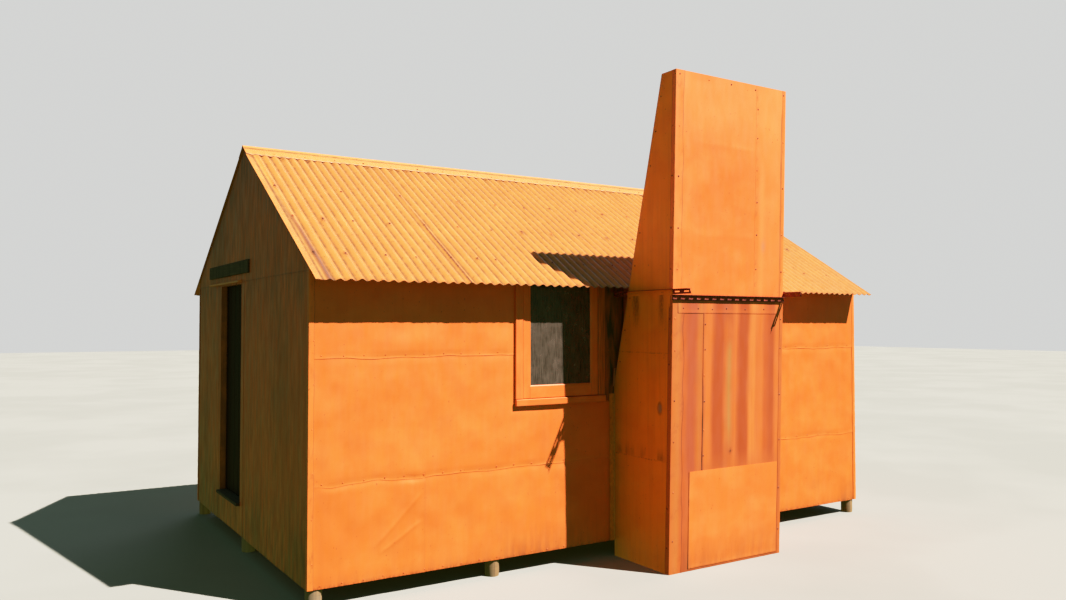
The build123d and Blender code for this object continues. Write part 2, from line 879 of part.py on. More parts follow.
pieces = {
    "piles": piles,
    "bearers": bearers,
    "floor_joists": floor_joists,
    "floor": floor,
    "front_frame_left": front_frame_left,
    "front_frame_under_window": front_frame_under_window,
    "front_frame_middle": front_frame_middle,
    "front_frame_over_hearth": front_frame_over_hearth,
    "front_frame_right": front_frame_right,
    "rear_frame": rear_frame,
    "wall_plates": wall_plates,
    "left_frame_near": left_frame_near,
    "left_frame_far": left_frame_far,
    "left_frame_over_door": left_frame_over_door,
    "right_frame": right_frame,
    "rafters": rafters,
    "ridge_board": ridge_board,
    "battens": battens,
    "front_roof_sheets": front_roof_sheets,
    "rear_roof_sheets": rear_roof_sheets,
    "ridge_cap": ridge_cap,
    "front_cladding": front_cladding,
    "rear_cladding": rear_cladding,
    "left_gable_cladding": left_gable_cladding,
    "right_gable_cladding": right_gable_cladding,
    "corner_flashings": corner_flashings,
    "window_surround": window_surround,
    "window_sash": window_sash,
    "window_glass": window_glass,
    "door_jambs": door_jambs,
    "door_lining_head": door_lining_head,
    "threshold": threshold,
    "door_leaf": door_leaf,
    "hinge_straps": hinge_straps,
    "hinge_pins": hinge_pins,
    "sign_board": sign_board,
    "door_head_flashing": door_head_flashing,
    "chimney_front_upper": chimney_front_upper,
    "chimney_front_lower": chimney_front_lower,
    "chimney_sides": chimney_sides,
    "chimney_back": chimney_back,
    "chimney_posts": chimney_posts,
    "hearth_base": hearth_base,
    "chimney_side_braces": chimney_side_braces,
    "chimney_front_brace": chimney_front_brace,
}

for name, piece in pieces.items():
    piece.part.label = name
    export_step(piece.part, f"parts/{name}.step")
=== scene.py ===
"""Backcountry hut: the looks of its sheet iron, timber, glass and steel, on the model's frame.

Lengths are metres in the model's frame. X runs along the front wall, Y from the front wall to the rear one,
and Z up from the ground.
"""

import logging
import math
import random
from collections.abc import Callable, Iterable, Sequence
from dataclasses import dataclass, field
from enum import Enum

import bmesh
import bpy
from mathutils import Matrix, Vector, noise


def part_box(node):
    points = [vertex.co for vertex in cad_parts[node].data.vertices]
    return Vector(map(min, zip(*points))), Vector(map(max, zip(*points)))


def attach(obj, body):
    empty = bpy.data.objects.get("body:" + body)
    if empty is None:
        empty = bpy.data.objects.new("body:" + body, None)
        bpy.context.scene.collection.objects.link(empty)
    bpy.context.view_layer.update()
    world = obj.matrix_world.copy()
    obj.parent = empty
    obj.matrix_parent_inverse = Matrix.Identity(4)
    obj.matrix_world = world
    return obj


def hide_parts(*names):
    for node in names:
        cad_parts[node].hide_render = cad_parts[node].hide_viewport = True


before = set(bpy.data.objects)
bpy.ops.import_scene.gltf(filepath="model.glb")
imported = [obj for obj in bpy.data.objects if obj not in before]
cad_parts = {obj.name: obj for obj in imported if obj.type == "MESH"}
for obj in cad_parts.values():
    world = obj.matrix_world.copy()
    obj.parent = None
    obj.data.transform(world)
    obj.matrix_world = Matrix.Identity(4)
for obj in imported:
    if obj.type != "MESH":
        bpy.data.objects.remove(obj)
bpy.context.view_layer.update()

log = logging.getLogger("hut")
MM = 0.001
Point = tuple[float, float, float]
Socket = bpy.types.NodeSocket


# Helpers for colours, nodes and grids

def linear(colour: str) -> tuple[float, float, float, float]:
    """Turns an sRGB hex colour to linear.

    Args:
        colour: hex value such as "#E17F31".

    Returns:
        Red, green, blue and an alpha of one.
    """
    parts = [int(colour[n:n + 2], 16) / 255 for n in (1, 3, 5)]
    red, green, blue = (c / 12.92 if c <= 0.04045 else ((c + 0.055) / 1.055) ** 2.4 for c in parts)
    return red, green, blue, 1.0


def add_node(tree: bpy.types.NodeTree, kind: str, inputs: dict | None = None, **settings) -> bpy.types.Node:
    """Adds a node with its settings and links.

    Args:
        tree: the tree that gets the node.
        kind: the node's type.
        inputs: a value, or the socket to link from, for each input by name or number.
        settings: the node's own properties.

    Returns:
        The node.
    """
    made = tree.nodes.new(kind)
    for name, value in settings.items():
        setattr(made, name, value)
    for key, value in (inputs or {}).items():
        if isinstance(value, bpy.types.NodeSocket):
            tree.links.new(value, made.inputs[key])
        else:
            made.inputs[key].default_value = value
    return made


def smooth(value: float) -> float:
    """Eases a share from 0 to 1, held at its ends."""
    value = min(max(value, 0.0), 1.0)
    return value * value * (3 - 2 * value)


def rise(value: float, start: float, width: float) -> float:
    """Eases from 0 at a start to 1 at a width past it."""
    return smooth((value - start) / width)


def fall(value: float, start: float, width: float) -> float:
    """Eases from 1 at a start to 0 at a width past it."""
    return smooth(1 - (value - start) / width)


def near(value: float, middle: float, reach: float) -> float:
    """Eases from 1 at a middle to 0 at a reach from it, on both sides."""
    return smooth(1 - abs(value - middle) / reach)


def swell(a: float, b: float, size: float, seed: float) -> float:
    """Slow wander between about -1 and 1 over marks of a size, in metres."""
    return noise.noise(Vector((a / size, b / size, seed)))


def stations(low: float, high: float, step: float, extra: Iterable[float] = ()) -> list[float]:
    """Places for a grid's lines.

    Args:
        low: first place.
        high: last place.
        step: widest spacing.
        extra: places that must be among them.

    Returns:
        The places in order, with none closer than a millimetre.
    """
    fixed = sorted({low, high, *(e for e in extra if low < e < high)})
    places = [fixed[0]]
    for start, end in zip(fixed, fixed[1:]):
        if end - start < MM:
            continue
        count = max(1, math.ceil((end - start) / step))
        places += [start + (end - start) * n / count for n in range(1, count + 1)]
    return places


class Mark(Enum):
    """What stains a point of a mesh, each kept as an attribute from 0 to 1; on some meshes FADE also carries
    a painted highlight and GRIME painted shade.
    """
    RUST = "rust"
    FADE = "fade"
    GRIME = "grime"
    BARE = "bare"


Marks = dict[Mark, float]


class Grain(Enum):
    """Which way the grain of a timber runs."""
    ALONG_X = (1, 0, 0)
    ALONG_Y = (0, 1, 0)
    ALONG_Z = (0, 0, 1)


# Finishes

class Coat:
    """A material while its colours are laid over each other."""

    def __init__(self, name: str) -> None:
        """Starts an empty material that reads its pattern from the object's own coordinates.

        Args:
            name: its name.
        """
        self.material = bpy.data.materials.new(name)
        self.material.use_nodes = True
        self.tree = self.material.node_tree
        self.tree.nodes.clear()
        self.place = self.add("ShaderNodeTexCoord").outputs["Object"]

    def add(self, kind: str, inputs: dict | None = None, **settings) -> bpy.types.Node:
        """Adds a node to this material."""
        return add_node(self.tree, kind, inputs, **settings)

    def marks(self, size: Sequence[float], seed: float = 0.0, detail: float = 3.0,
              sharp: float = 0.55) -> Socket:
        """Random marks of a real size.

        Args:
            size: length of a mark along X, Y and Z, in millimetres.
            seed: place in the pattern.
            detail: how many finer layers it has.
            sharp: strength of the finer layers.

        Returns:
            Socket with the pattern, about 0.5 on average.
        """
        scaled = self.add("ShaderNodeMapping", {
            "Vector": self.place, "Location": (seed, 1.7 * seed, 0.6 * seed),
            "Scale": [1000 / s for s in size]})
        return self.add("ShaderNodeTexNoise", {
            "Vector": scaled.outputs[0], "Scale": 1.0, "Detail": detail, "Roughness": sharp}).outputs[0]

    def patches(self, size: Sequence[float], seed: float, low: float, high: float) -> Socket:
        """Socket with random marks of a real size, from 0 at a low level of them to 1 at a high one."""
        return self.level(self.marks(size, seed), low, high)

    def mark(self, kind: Mark) -> Socket:
        """Socket with how far the mesh's own attribute marks a point."""
        return self.add("ShaderNodeAttribute", attribute_name=kind.value).outputs["Fac"]

    def times(self, one: Socket, other: Socket | float) -> Socket:
        """Socket with the product of two values."""
        return self.add("ShaderNodeMath", {0: one, 1: other}, operation="MULTIPLY").outputs[0]

    def level(self, pattern: Socket, low: float, high: float, start: float = 0.0,
              end: float = 1.0) -> Socket:
        """Turns a pattern's range into another.

        Args:
            pattern: socket with the pattern.
            low: its level where the result is start.
            high: its level where the result is end.
            start: result below low.
            end: result above high.

        Returns:
            Socket with the result.
        """
        return self.add("ShaderNodeMapRange", {
            "Value": pattern, "From Min": low, "From Max": high, "To Min": start, "To Max": end}).outputs[0]

    def wash(self, under: str | Socket, colour: str, cover: Socket, strength: float = 1.0) -> Socket:
        """Lays a colour over another.

        Args:
            under: hex colour or socket of what lies below.
            colour: hex colour of the wash.
            cover: socket with how far it covers, from 0 to 1.
            strength: how far it covers at most.

        Returns:
            Socket with the colour.
        """
        share = self.times(cover, strength)
        below = linear(under) if isinstance(under, str) else under
        return self.add("ShaderNodeMix", {0: share, 6: below, 7: linear(colour)}, data_type="RGBA").outputs[2]

    def finish(self, colour: Socket, rough: Socket | float, height: Socket | None = None,
               depth: float = 0.0, **constants: float) -> bpy.types.Material:
        """Sets the surface.

        Args:
            colour: socket with the colour.
            rough: socket or value of the roughness.
            height: socket with the relief from 0 to 1.
            depth: how deep the relief is, in millimetres.
            constants: values for the shader's other inputs, with _ for a space.

        Returns:
            The material.
        """
        values = {name.replace("_", " "): value for name, value in constants.items()}
        shader = self.add("ShaderNodeBsdfPrincipled", {"Base Color": colour, "Roughness": rough, **values})
        if height is not None:
            relief = self.add("ShaderNodeBump", {"Height": height, "Distance": depth * MM})
            self.tree.links.new(relief.outputs[0], shader.inputs["Normal"])
        self.add("ShaderNodeOutputMaterial", {"Surface": shader.outputs[0]})
        return self.material


@dataclass(frozen=True)
class EnamelOnIron:
    """Oil enamel brushed over galvanised sheet: satin, in soft cloudy patches, with faint brush marks."""
    name: str
    body: str = "#EE6B27"
    faded: str = "#F57C39"
    deep: str = "#DC5E21"
    streak: str = "#C4551D"
    runs: tuple[float, float, float] = (26, 26, 900)
    run_share: float = 0.10
    stain_share: float = 0.15
    grime: str = "#4A3B20"
    settled: float = 0.0
    rust: str = "#5E2A12"
    zinc: str = "#8C7468"
    gloss: float = 0.46
    fleck_from: float = 0.735

    def make(self) -> bpy.types.Material:
        """Lays the enamel's colours.

        Returns:
            The material.
        """
        coat = Coat(self.name)
        colour = coat.wash(self.body, self.faded, coat.patches((330, 330, 260), 1, 0.42, 0.66), 0.5)
        colour = coat.wash(colour, self.deep, coat.patches((210, 210, 170), 5, 0.48, 0.74), 0.4)
        # Brush marks are finer than this on the real sheets; they are drawn 9 mm wide to show in a render
        colour = coat.wash(colour, self.deep, coat.patches((9, 9, 170), 9, 0.50, 0.72), 0.07)
        colour = coat.wash(colour, self.streak, coat.patches(self.runs, 13, 0.46, 0.74), self.run_share)
        stains = coat.patches((620, 620, 1500), 37, 0.42, 0.66)
        colour = coat.wash(colour, self.streak, stains, self.stain_share)
        # The FADE attribute pales the paint: sun-faded paint, and a painted highlight on the wall lips, roof
        # flanks, cap roll and folds.
        colour = coat.wash(colour, self.faded, coat.mark(Mark.FADE), 0.9)
        colour = coat.wash(colour, self.zinc, coat.mark(Mark.BARE))
        # The GRIME attribute darkens: dirt, and painted shade in the wall's nook, under the cap, in its crook
        # and in the open roof lap.
        dirt = coat.level(coat.marks((45, 45, 260), 17), 0.30, 0.62, self.settled)
        colour = coat.wash(colour, self.grime, coat.times(coat.mark(Mark.GRIME), dirt))
        flecks = coat.level(coat.marks((16, 16, 22), 21, detail=1), self.fleck_from, self.fleck_from + 0.045)
        colour = coat.wash(colour, self.rust, flecks, 0.45)
        scabs = coat.patches((14, 14, 26), 25, 0.36, 0.60)
        colour = coat.wash(colour, self.rust, coat.times(coat.mark(Mark.RUST), scabs))
        rough = coat.level(coat.marks((60, 60, 200), 29), 0.3, 0.7, self.gloss - 0.07, self.gloss + 0.1)
        return coat.finish(colour, rough, coat.marks((11, 11, 60), 33), 0.2, Specular_IOR_Level=0.42)


class Burn(Enum):
    """What the fire left of the enamel over the hearth."""
    FRESH = "#D8642B"
    GOLD = "#C4682F"
    ROSE = "#AA4B2B"
    SCORCHED = "#A4431B"
    RED = "#B94C1F"
    CORE = "#AC6E38"
    PALE = "#E26F33"


@dataclass(frozen=True)
class Streak:
    """A heat-burnt column: its middle, half its width and its ends, from the chimney's left foot."""
    middle: float
    half: float
    tone: Burn
    foot: float = 0.70
    top: float = 2.13
    strength: float = 0.9


@dataclass(frozen=True)
class HeatedEnamel:
    """Enamel over the fire: burnt in soft columns between rose primer, scorched red and fresh orange."""
    name: str
    left: float
    streaks: tuple[Streak, ...] = ()
    soft: float = 0.022

    def make(self) -> bpy.types.Material:
        """Lays the columns over the enamel.

        Returns:
            The material.
        """
        coat = Coat(self.name)
        axes = coat.add("ShaderNodeSeparateXYZ", {0: coat.place})
        wander = coat.level(coat.marks((90, 90, 700), 3, detail=2), 0.0, 1.0, -0.030, 0.030)
        across = coat.add("ShaderNodeMath", {0: axes.outputs[0], 1: wander}, operation="ADD").outputs[0]
        colour = coat.wash("#B65324", Burn.FRESH.value, coat.patches((260, 260, 300), 1, 0.42, 0.66), 0.5)
        for streak in self.streaks:
            middle = self.left + streak.middle
            off = coat.add("ShaderNodeMath", {0: across, 1: middle}, operation="SUBTRACT").outputs[0]
            gap = coat.add("ShaderNodeMath", {0: off}, operation="ABSOLUTE").outputs[0]
            side = coat.level(gap, streak.half + self.soft, streak.half - self.soft)
            low = coat.level(axes.outputs[2], streak.foot - 0.02, streak.foot + 0.20)
            high = coat.level(axes.outputs[2], streak.top + 0.06, streak.top - 0.06)
            column = coat.times(side, coat.times(low, high))
            colour = coat.wash(colour, streak.tone.value, column, streak.strength)
        colour = coat.wash(colour, "#A33C1A", coat.patches((30, 30, 900), 13, 0.50, 0.74), 0.22)
        colour = coat.wash(colour, Burn.FRESH.value, coat.mark(Mark.FADE), 0.9)
        dirt = coat.level(coat.marks((30, 30, 200), 17), 0.30, 0.62, 0.6)
        colour = coat.wash(colour, "#3A2010", coat.times(coat.mark(Mark.GRIME), dirt))
        scabs = coat.patches((12, 12, 26), 25, 0.36, 0.60)
        colour = coat.wash(colour, "#5B2412", coat.times(coat.mark(Mark.RUST), scabs))
        rough = coat.level(coat.marks((60, 60, 200), 29), 0.3, 0.7, 0.45, 0.65)
        return coat.finish(colour, rough, coat.marks((11, 11, 60), 33), 0.2, Specular_IOR_Level=0.4)


@dataclass(frozen=True)
class EnamelOnTimber:
    """Enamel brushed on sawn boards: the grain stands a little proud, and joints are dark with dirt."""
    name: str
    grain: Grain
    body: str = "#EA6A26"
    deep: str = "#C15018"

    def make(self) -> bpy.types.Material:
        """Lays the paint over the grain.

        Returns:
            The material.
        """
        coat = Coat(self.name)
        ridge = coat.marks([260 if along else 7 for along in self.grain.value], 2, detail=4)
        colour = coat.wash(self.body, "#F37B39", coat.patches((120, 120, 160), 6, 0.42, 0.66), 0.5)
        colour = coat.wash(colour, self.deep, coat.level(ridge, 0.52, 0.72), 0.45)
        # The GRIME attribute darkens along the grain: dirt, and on the right window board painted shade.
        dirt = coat.times(coat.mark(Mark.GRIME), coat.level(ridge, 0.30, 0.60))
        colour = coat.wash(colour, "#54381B", dirt, 0.8)
        rough = coat.level(ridge, 0.3, 0.7, 0.42, 0.60)
        return coat.finish(colour, rough, ridge, 0.5, Specular_IOR_Level=0.42)


@dataclass(frozen=True)
class SawnTimber:
    """Rough sawn softwood left bare: saw marks across it, open grain along it, greyed where rain reaches."""
    name: str
    grain: Grain
    body: str = "#8F6F4B"
    grey: str = "#7C7466"
    dark: str = "#4E3A26"

    def make(self) -> bpy.types.Material:
        """Lays the grain and the saw marks.

        Returns:
            The material.
        """
        coat = Coat(self.name)
        rings = coat.marks([520 if along else 16 for along in self.grain.value], 2, detail=5, sharp=0.65)
        saw = coat.marks([5 if along else 90 for along in self.grain.value], 8, detail=1)
        colour = coat.wash(self.body, self.dark, coat.level(rings, 0.46, 0.68), 0.65)
        colour = coat.wash(colour, self.grey, coat.patches((300, 300, 300), 5, 0.42, 0.62), 0.7)
        colour = coat.wash(colour, self.dark, coat.level(saw, 0.55, 0.72), 0.25)
        return coat.finish(colour, coat.level(rings, 0.3, 0.7, 0.72, 0.9), rings, 0.8)


@dataclass(frozen=True)
class StainedBoard:
    """Dark oil stain soaked into boards: dull, with the grain showing as a faint lighter line."""
    name: str
    grain: Grain
    body: str = "#28130E"
    worn: str = "#40201A"

    def make(self) -> bpy.types.Material:
        """Lays the stain over the grain.

        Returns:
            The material.
        """
        coat = Coat(self.name)
        ridge = coat.marks([420 if along else 9 for along in self.grain.value], 4, detail=4, sharp=0.6)
        colour = coat.wash(self.body, self.worn, coat.level(ridge, 0.46, 0.68), 0.8)
        colour = coat.wash(colour, "#16120E", coat.patches((90, 90, 320), 9, 0.50, 0.70), 0.6)
        rough = coat.level(ridge, 0.3, 0.7, 0.6, 0.85)
        return coat.finish(colour, rough, ridge, 0.6, Specular_IOR_Level=0.12)


@dataclass(frozen=True)
class RustedSteel:
    """Hot-rolled steel left to rust: dark red-brown scale with a paler bloom, quite dull."""
    name: str

    def make(self) -> bpy.types.Material:
        """Lays the bloom over the scale.

        Returns:
            The material.
        """
        coat = Coat(self.name)
        bloom = coat.marks((24, 24, 24), 3, detail=5, sharp=0.65)
        colour = coat.wash("#74241A", "#A8422E", coat.level(bloom, 0.44, 0.62), 0.9)
        colour = coat.wash(colour, "#8A5A3C", coat.patches((9, 9, 9), 8, 0.60, 0.74), 0.5)
        return coat.finish(colour, coat.level(bloom, 0.3, 0.7, 0.55, 0.8), bloom, 0.5, Metallic=0.1)


@dataclass(frozen=True)
class PaintedNail:
    """Nail heads brushed over with the sheets: some keep their paint, and the worn ones show rust."""
    name: str
    worn_from: float
    body: str = "#E16223"

    def make(self) -> bpy.types.Material:
        """Lays rust on the worn heads.

        Returns:
            The material.
        """
        coat = Coat(self.name)
        worn = coat.add("ShaderNodeAttribute", attribute_name="worn").outputs["Fac"]
        rusty = coat.level(worn, self.worn_from, self.worn_from + 0.2)
        scabs = coat.times(rusty, coat.patches((5, 5, 5), 3, 0.25, 0.45))
        colour = coat.wash(self.body, "#57260F", scabs, 0.95)
        return coat.finish(colour, 0.55, coat.marks((4, 4, 4), 6), 0.3, Metallic=0.1)


@dataclass(frozen=True)
class DustyGlass:
    """Drawn window glass, never washed: a grey film with rain runs, nearly black where the sun is off it."""
    name: str

    def make(self) -> bpy.types.Material:
        """Lays the dust over the glass.

        Returns:
            The material.
        """
        coat = Coat(self.name)
        runs = coat.marks((11, 11, 120), 2, detail=4, sharp=0.6)
        film = coat.marks((80, 80, 90), 7, detail=4)
        colour = coat.wash("#3F3329", "#6C5E52", coat.level(runs, 0.34, 0.66), 0.75)
        colour = coat.wash(colour, "#7D6B60", coat.level(film, 0.46, 0.70), 0.35)
        return coat.finish(colour, coat.level(film, 0.3, 0.7, 0.12, 0.3), film, 0.15,
                           Specular_IOR_Level=0.2, Transmission_Weight=0.35)


@dataclass(frozen=True)
class FieldStone:
    """River stone and mortar of the hearth: grey, chalky, with soot and lichen."""
    name: str

    def make(self) -> bpy.types.Material:
        """Lays the stones in their mortar.

        Returns:
            The material.
        """
        coat = Coat(self.name)
        scaled = coat.add("ShaderNodeMapping", {"Vector": coat.place, "Scale": (5.5, 5.5, 8.0)}).outputs[0]
        cells = coat.add("ShaderNodeTexVoronoi", {"Vector": scaled, "Randomness": 0.9},
                         feature="DISTANCE_TO_EDGE")
        joint = coat.level(cells.outputs[0], 0.02, 0.12)
        grit = coat.marks((30, 30, 30), 4, detail=6)
        colour = coat.wash("#8C857A", "#6A655D", coat.level(grit, 0.42, 0.62), 0.8)
        colour = coat.wash(colour, "#57524B", joint, 0.55)
        return coat.finish(colour, 0.92, joint, 6.0)


# Building meshes

def placed(name: str, data: bpy.types.ID) -> bpy.types.Object:
    """Makes an object and puts it in the scene.

    Args:
        name: its name.
        data: its mesh, lamp or camera.

    Returns:
        The object.
    """
    made = bpy.data.objects.new(name, data)
    bpy.context.scene.collection.objects.link(made)
    return made


def surfaced(mesh: bpy.types.Mesh, marks: dict[Mark, list[float]], sharp: float) -> None:
    """Keeps a mesh's marks as attributes, and smooths its faces up to an angle.

    Args:
        mesh: the mesh.
        marks: each mark's values, point by point.
        sharp: the angle past which an edge stays sharp, in degrees.
    """
    for kind, values in marks.items():
        mesh.attributes.new(kind.value, "FLOAT", "POINT").data.foreach_set("value", values)
    mesh.shade_smooth()
    mesh.set_sharp_from_angle(angle=math.radians(sharp))


class Draft:
    """Points, faces and marks of one piece while it is made."""

    def __init__(self, name: str) -> None:
        """Starts an empty piece.

        Args:
            name: name of the piece.
        """
        self.name = name
        self.points: list[Vector] = []
        self.faces: list[list[int]] = []
        self.marks: dict[Mark, list[float]] = {kind: [] for kind in Mark}

    def point(self, place: Iterable[float], marks: Marks | None = None) -> None:
        """Adds one point with its marks.

        Args:
            place: where it is.
            marks: its marks, if any.
        """
        self.points.append(Vector(place))
        for kind in Mark:
            self.marks[kind].append((marks or {}).get(kind, 0.0))

    def sheet(self, us: Sequence[float], vs: Sequence[float], place: Callable[[float, float], Vector],
              inward: Vector, keep: Callable[[float, float], bool] = lambda u, v: True,
              mark: Callable[[float, float], Marks] = lambda u, v: {}, turned: bool = False) -> None:
        """Adds a closed sheet of metal over a grid.

        Args:
            us: places along the sheet.
            vs: places up the sheet.
            place: point of the outer face for a place along and up.
            inward: the metal's thickness and direction.
            keep: whether the cell about a place is there.
            mark: marks of a place.
            turned: whether along and up run the other way round, seen from outside.
        """
        cells = [(i, j) for j in range(len(vs) - 1) for i in range(len(us) - 1)
                 if keep((us[i] + us[i + 1]) / 2, (vs[j] + vs[j + 1]) / 2)]
        corners = [((i, j), (i + 1, j), (i + 1, j + 1), (i, j + 1)) for i, j in cells]
        used = sorted({c for face in corners for c in face})
        first, count = len(self.points), len(used)
        index = {c: first + n for n, c in enumerate(used)}
        outer = [(Vector(place(us[i], vs[j])), mark(us[i], vs[j])) for i, j in used]
        for shift in (Vector(), inward):
            for point, marks in outer:
                self.point(point + shift, marks)
        rim = set()
        for face in corners:
            ring = [index[c] for c in face]
            if turned:
                ring.reverse()
            self.faces.append(ring)
            self.faces.append([n + count for n in reversed(ring)])
            rim.update(zip(ring, ring[1:] + ring[:1]))
        for a, b in rim:
            if (b, a) not in rim:
                self.faces.append([b, a, a + count, b + count])

    def solid(self, corners: Iterable[Iterable[float]], marks: Marks | None = None) -> None:
        """Adds the closed shape that wraps some corners.

        Args:
            corners: the corners, in any order.
            marks: marks of the whole shape.
        """
        shell = bmesh.new()
        for corner in corners:
            shell.verts.new(corner)
        result = bmesh.ops.convex_hull(shell, input=shell.verts)
        bmesh.ops.delete(shell, geom=[v for v in result["geom_interior"] if v.is_valid], context="VERTS")
        bmesh.ops.dissolve_limit(shell, angle_limit=math.radians(1), verts=shell.verts, edges=shell.edges)
        bmesh.ops.recalc_face_normals(shell, faces=shell.faces)
        shell.verts.index_update()
        first = len(self.points)
        for vert in shell.verts:
            self.point(vert.co, marks)
        self.faces += [[first + v.index for v in face.verts] for face in shell.faces]
        shell.free()

    def board(self, low: Sequence[float], high: Sequence[float], arris: float = 2 * MM,
              marks: Marks | None = None) -> None:
        """Adds a straight board with its arrises taken off.

        Args:
            low: its lowest corner.
            high: its highest corner.
            arris: how much is taken off.
            marks: marks of the whole board.
        """
        corners = []
        for ends in ((a, b, c) for a in (0, 1) for b in (0, 1) for c in (0, 1)):
            corner = [(high if end else low)[n] for n, end in enumerate(ends)]
            shifted = [c - arris if end else c + arris for c, end in zip(corner, ends)]
            for axis in range(3):
                corners.append([corner[n] if n == axis else shifted[n] for n in range(3)])
        self.solid(corners, marks)

    def make(self, material: bpy.types.Material, sharp: float = 35.0) -> bpy.types.Object:
        """Turns the draft into an object.

        Args:
            material: its finish.
            sharp: the angle past which an edge stays sharp, in degrees.

        Returns:
            The object, at the origin.
        """
        mesh = bpy.data.meshes.new(self.name)
        mesh.from_pydata(self.points, [], self.faces)
        mesh.materials.append(material)
        surfaced(mesh, self.marks, sharp)
        return placed(self.name, mesh)


def deliver(piece: bpy.types.Object, body: str = "hut",
            stands_for: Iterable[str] = ()) -> bpy.types.Object:
    """Hands a finished piece to the frame.

    Args:
        piece: the object.
        body: the body that it rides on.
        stands_for: nodes that it replaces.

    Returns:
        The same object.
    """
    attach(piece, body)
    if stands_for:
        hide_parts(*stands_for)
    log.info("%s: %d faces on %s", piece.name, len(piece.data.polygons), body)
    return piece


def dress(material: bpy.types.Material, *names: str) -> None:
    """Gives nodes of the model a finish.

    Args:
        material: the finish.
        names: the nodes.
    """
    for name in names:
        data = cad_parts[name].data
        data.materials.clear()
        data.materials.append(material)
        log.info("%s: dressed in %s", name, material.name)


def folded_strip(draft: Draft, corner: Callable[[float], tuple[float, float]], faces: tuple[int, int],
                 legs: tuple[float, float], heights: Sequence[float], crumple: float, seed: float) -> None:
    """Adds a strip of metal folded by hand over an upright corner.

    Args:
        draft: the piece.
        corner: X and Y of the strip's outer corner at a height.
        faces: which way the corner's sides face, along X and along Y.
        legs: width of the leg on the side that faces along Y, and of the other one.
        heights: places up the strip.
        crumple: how far the fold is out of true at most, in metres.
        seed: place in its pattern.
    """
    along_x, along_y = faces
    wide, deep = legs
    path = [(0, deep), (0, 0.9 * deep), (0, 0.5 * deep), (0, 3 * MM), (0.8 * MM, 0.8 * MM), (3 * MM, 0),
            (0.5 * wide, 0), (0.9 * wide, 0), (wide, 0)]
    last = len(path) - 1

    def place(u: float, z: float) -> Vector:
        """Point of the strip's outer face.

        Args:
            u: place along the section, as a count of its points.
            z: height.

        Returns:
            The point.
        """
        n = round(u)
        across, back = path[n]
        stray = 1 + 0.16 * swell(z, 4.0 * (n > 4), 0.22, seed) if n in (0, 1, last - 1, last) else 1.0
        dent = crumple * min(1.0, abs(swell(z, 0.0, 0.05, seed + 1)) * 2.2) if 2 < n < last - 2 else 0.0
        lift = 1.6 * MM * max(0.0, swell(z, 9.0 * (n > 4), 0.17, seed + 2))
        x, y = corner(z)
        return Vector((x - along_x * (across * stray + dent - (lift if n == 0 else 0.0)),
                       y - along_y * (back * stray + dent - (lift if n == last else 0.0)), z))

    def mark(u: float, z: float) -> Marks:
        """A paler fold, partly rubbed paint and partly a painted highlight, and dirt caught along the edges.

        Args:
            u: place along the section, as a count of its points.
            z: height.

        Returns:
            The marks.
        """
        n = round(u)
        # The fold is paled: partly rubbed paint, partly a painted highlight where the fold catches the light.
        rubbed = 0.75 if 2 < n < last - 2 else 0.15
        return {Mark.FADE: rubbed, Mark.GRIME: 0.8 if n in (0, last) else 0.0,
                Mark.RUST: 0.30 * smooth(swell(z, n, 0.1, seed + 3) * 2)}

    draft.sheet(range(len(path)), heights, place, Vector((-along_x, -along_y, 0)) * MM, mark=mark,
                turned=along_x * along_y < 0)


# Geometry node trees

class Tree:
    """A geometry node tree with named inputs for its sizes."""

    def __init__(self, name: str, sizes: dict[str, str]) -> None:
        """Starts the tree with an input for each size.

        Args:
            name: name of the tree.
            sizes: each size's socket type, by its name.
        """
        self.group = bpy.data.node_groups.new(name, "GeometryNodeTree")
        face = self.group.interface
        face.new_socket("Geometry", in_out="INPUT", socket_type="NodeSocketGeometry")
        face.new_socket("Geometry", in_out="OUTPUT", socket_type="NodeSocketGeometry")
        for label, kind in sizes.items():
            face.new_socket(label, in_out="INPUT", socket_type=f"NodeSocket{kind}")
        face.new_socket("Finish", in_out="INPUT", socket_type="NodeSocketMaterial")
        self.start = self.group.nodes.new("NodeGroupInput")
        self.sizes = self.start.outputs

    def add(self, kind: str, inputs: dict | None = None, **settings) -> bpy.types.Node:
        """Adds a node to this tree."""
        return add_node(self.group, kind, inputs, **settings)

    def out(self, kind: str, inputs: dict | None = None, **settings) -> Socket:
        """Adds a node to this tree and returns its first output."""
        return self.add(kind, inputs, **settings).outputs[0]

    def end(self, geometry: Socket) -> None:
        """Realizes what the tree made and gives it its finish.

        Args:
            geometry: socket with what it made.
        """
        real = self.out("GeometryNodeRealizeInstances", {0: geometry})
        dressed = self.out("GeometryNodeSetMaterial", {"Geometry": real, "Material": self.sizes["Finish"]})
        self.add("NodeGroupOutput", {0: dressed})

    def bake(self, carrier: bpy.types.Object, values: dict[str, float | int | bpy.types.Material]) -> None:
        """Runs the tree on an object and keeps the result as its plain mesh.

        Args:
            carrier: the object, whose mesh is what the tree works on.
            values: the tree's inputs by name.
        """
        modifier = carrier.modifiers.new(self.group.name, "NODES")
        modifier.node_group = self.group
        for item in self.group.interface.items_tree:
            if item.item_type == "SOCKET" and item.in_out == "INPUT" and item.name in values:
                modifier[item.identifier] = values[item.name]
        bpy.context.view_layer.update()
        mesh = bpy.data.meshes.new_from_object(carrier.evaluated_get(bpy.context.evaluated_depsgraph_get()))
        carrier.modifiers.remove(modifier)
        carrier.data = mesh


